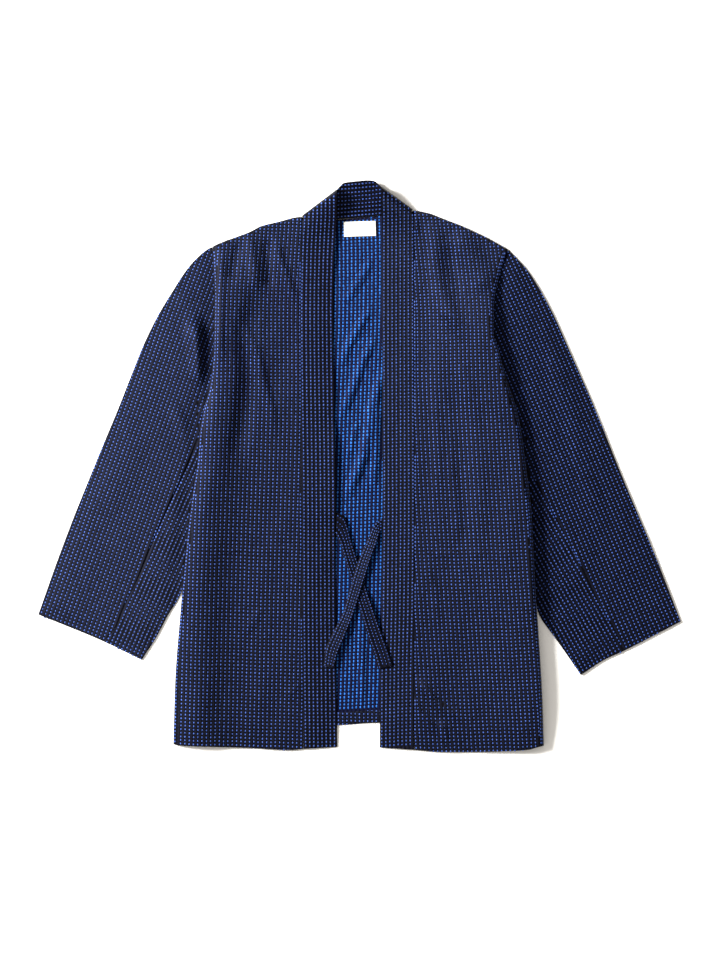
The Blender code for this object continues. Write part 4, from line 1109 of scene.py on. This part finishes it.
def buildCollar():
    c = collarCloth
    share = shares(c["edgeSteps"], c["nominalWidth"], c["step"], True)
    right, left, neck = collarFaces("right", share), collarFaces("left", share), neckFaces(share)
    outer, inner = (joined(r, n, l[::-1]).transpose(1, 0, 2) for r, n, l in zip(right, neck, left))
    cloth = pointsOf(share[:, None] * c["nominalWidth"], runAlong(outer[len(share) // 2])) * mm
    piece, tree = clothWall("collarCloth", outer, inner, cloth, outsideTwice)
    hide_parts("collar")
    stitches = setStitches("collarStitches", tree, collarStitchLines(), 81)
    print("collar built")


# Ties

# both edges and the height of the underside, from the root to the free end
tieShapes = {
    "right": (
        (-35.2, -69, -35, -102, 3), (-23.3, -75.5, -28.5, -118.1, 2.9), (-12.8, -109.1, -21.8, -140.6, 2.7),
        (-2.3, -142.1, -15.8, -160.1, 2.6), (11, -185.6, -5.3, -196.1, 2.8), (18, -206, 0, -214, 3.7),
        (26.3, -229.9, 8.3, -241.9, 5), (34.5, -253.1, 15, -263.6, 5.5), (42.5, -275.6, 21.5, -281.4, 5.5),
        (50.1, -298.9, 27.8, -303.4, 5.5),
    ),
    "left": (
        (34.1, -96, 34.2, -77, 3), (31, -98, 22.7, -86.6, 3.2), (25.5, -115.1, 12, -110.6, 3.9),
        (17.3, -137.6, 1.7, -133.1, 4.7), (10.5, -159.4, -6, -155.6, 5), (0.5, -191.6, -15.8, -188.6, 5.1),
        (-9.3, -221.6, -24.4, -218.6, 5.2), (-21.8, -254.6, -40.8, -251.6, 5.5),
        (-32.3, -280.1, -51.3, -277.1, 5.5), (-38.3, -301.9, -53.7, -299.6, 5.5),
    ),
}
tieCloth = {
    "thickness": 1.6, "width": 18.0, "edgeRound": 0.8, "puff": 0.3, "sections": 64,
    "shares": (0, 0.015, 0.045, 0.1, 0.2, 0.35, 0.5, 0.65, 0.8, 0.9, 0.955, 0.985, 1),
    "columns": 4, "rowPitch": 4.8, "firstRow": 2.0, "lastRow": 1.5,
}


def buildTie(half):
    t, rows = tieCloth, tieShapes[half]
    steps = [math.dist(a[:2], b[:2]) + math.dist(a[2:4], b[2:4]) for a, b in zip(rows, rows[1:])]
    keys = joined([0], np.cumsum(steps))
    place = np.linspace(0, keys[-1], t["sections"])
    x0, y0, x1, y1, z = (curveThrough(list(zip(keys, column)))(place) for column in zip(*rows))
    first, last, share = pointsOf(x0, y0), pointsOf(x1, y1), np.array(t["shares"])[:, None]
    plan = blend(first, last, share[..., None])
    rounded = t["edgeRound"] * (1 - roll(np.minimum(share, 1 - share) * t["width"], t["edgeRound"]))
    upper = raised(plan, z + t["thickness"] - rounded + t["puff"] * np.sin(math.pi * share))
    under = raised(plan, z + rounded)
    name = "tie" + half.capitalize()
    cloth = pointsOf(share * t["width"], place / 2) * mm
    piece, tree = clothWall(name + "Cloth", upper, under, cloth, outsideTwice)
    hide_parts("tie_" + half)
    draws, places, ways = np.random.default_rng(90 + len(half)), [], []
    for k in range(t["columns"]):
        line = first * (1 - (k + 0.5) / t["columns"]) + last * (k + 0.5) / t["columns"]
        run = runAlong(line)
        for s in np.arange(t["firstRow"] + draws.uniform(0, 2), run[-1] - t["lastRow"], t["rowPitch"]):
            here, ahead, behind = (
                np.array([np.interp(s + d, run, line[:, axis]) for axis in range(2)]) for d in (0, 3, -3)
            )
            places.append(here + draws.normal(0, jitter, 2))
            ways.append(ahead - behind)
    stitches = setStitches(name + "Stitches", tree, (np.array(places), np.array(ways)), 92, "tie")
    print("tie", half, "built")


# Label

labelCloth = {
    "size": (48.0, 22.5), "centre": (0.6, 356.0), "tilt": 1.8, "bottom": 1.6, "thickness": 0.8,
    "borderInset": 1.7, "borderDepth": 0.14, "borderWidth": 0.5, "edgeDrop": 0.3, "edgeReach": 0.5,
    "edgeSteps": (0, 0.25, 0.7, 1.2, 1.5, 1.7, 1.9, 2.3), "step": 1.6,
    "curl": 0.25, "curlReach": 8.0, "curlBelow": 0.6,
}


def wovenRibbon():
    # Close satin-woven polyester ribbon: bright white, a soft gloss, fine cross ribs 0.6 mm apart.
    material, tree, shader = newMaterial("whiteWovenRibbon")
    cloth = clothUv(tree)
    rib, speck = wave(tree, cloth, 0.0006, "Y"), noise(tree, cloth, 900.0, 2.0)
    setInputs(tree, shader, {
        "Roughness": 0.5, "Base Color": ramp(tree, speck, "#c8c8c2", "#dcdcd6", ends=(0.2, 0.8)),
        "Normal": bump(tree, rib, 0.3, 0.0001),
    })
    return material


def buildLabel():
    b = labelCloth
    width, length = b["size"]
    across, down = (shares(b["edgeSteps"], size, b["step"], True) for size in (width, length))
    u, v = grid(across, down)
    x, y = (u - 0.5) * width, (0.5 - v) * length
    edge = np.minimum(np.minimum(u, 1 - u) * width, np.minimum(v, 1 - v) * length)
    border = b["borderDepth"] * hump(np.abs(edge - b["borderInset"]), b["borderWidth"])
    curl = b["curl"] * np.exp(-((np.hypot(x - width / 2, y + length / 2) / b["curlReach"]) ** 2))
    top = b["bottom"] + b["thickness"] - b["edgeDrop"] * (1 - roll(edge, b["edgeReach"])) - border + curl
    cos, sin = math.cos(math.radians(b["tilt"])), math.sin(math.radians(b["tilt"]))
    plan = pointsOf(b["centre"][0] + x * cos - y * sin, b["centre"][1] + x * sin + y * cos)
    upper, under = raised(plan, top), raised(plan, b["bottom"] + b["curlBelow"] * curl)
    looks, cloth = (wovenRibbon(),) * 2, pointsOf(x, y) * mm
    piece = clothWall("neckLabel", upper, under, cloth, looks, slot="label_ribbon")[0]
    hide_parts("label")
    print("label built")


buildBack()
for half in signs:
    buildSleeve(half)
    buildFront(half)
buildCollar()
for half in signs:
    buildTie(half)
buildLabel()


# Studio

studio = {
    "floorSize": 9.0, "floorColour": "#f4f4f2",
    "keyPlace": (-5.15, 1.65, 2.6), "keySize": 1.7, "keyPower": 1540.0, "keyTint": (1.0, 0.985, 0.96),
    "skyColour": "#fff9f2", "skyStrength": 1.05, "skyTowardsTop": -0.52, "skyTowardsRight": -0.3,
    "cameraHeight": 8.0, "cameraCentre": (0.00075, -0.0206), "viewHeight": 1.44, "sensor": 36.0,
}


def buildStudio():
    s = studio
    bm = bmesh.new()
    bmesh.ops.create_grid(bm, x_segments=1, y_segments=1, size=s["floorSize"] / 2)
    mesh = bpy.data.meshes.new("floor")
    bm.to_mesh(mesh)
    bm.free()
    # smooth matt paper sweep
    material, tree, shader = newMaterial("palePaper")
    setInputs(tree, shader, {"Roughness": 0.9, "Base Color": colour(s["floorColour"])})
    mesh.materials.append(material)
    floor = newObject("floor", mesh)

    key = bpy.data.lights.new("keyLight", "AREA")
    key.energy, key.size, key.color = s["keyPower"], s["keySize"], s["keyTint"]
    lamp = newObject("keyLight", key)
    lamp.location = s["keyPlace"]
    lamp.rotation_euler = (-Vector(s["keyPlace"])).to_track_quat("-Z", "Y").to_euler()

    world = bpy.data.worlds.new("studioAir")
    world.use_nodes = True
    tree = world.node_tree
    # a pale room that is brighter low down and on the side of the lamp
    place = node(tree, "TexCoord").outputs["Generated"]
    axes = node(tree, "SeparateXYZ", {0: place}).outputs
    high = scaledSum(tree, axes["Z"], s["skyTowardsTop"], s["skyStrength"])
    side = scaledSum(tree, axes["X"], s["skyTowardsRight"], high)
    setInputs(tree, tree.nodes["Background"], {"Color": colour(s["skyColour"]), "Strength": side})
    bpy.context.scene.world = world
    bpy.context.scene.view_settings.view_transform = "Standard"

    lens = bpy.data.cameras.new("aboveCamera")
    lens.sensor_fit, lens.sensor_height = "VERTICAL", s["sensor"]
    lens.lens = s["sensor"] * s["cameraHeight"] / s["viewHeight"]
    camera = newObject("aboveCamera", lens)
    camera.location = (*s["cameraCentre"], s["cameraHeight"])
    bpy.context.scene.camera = camera


buildStudio()
print("studio built")
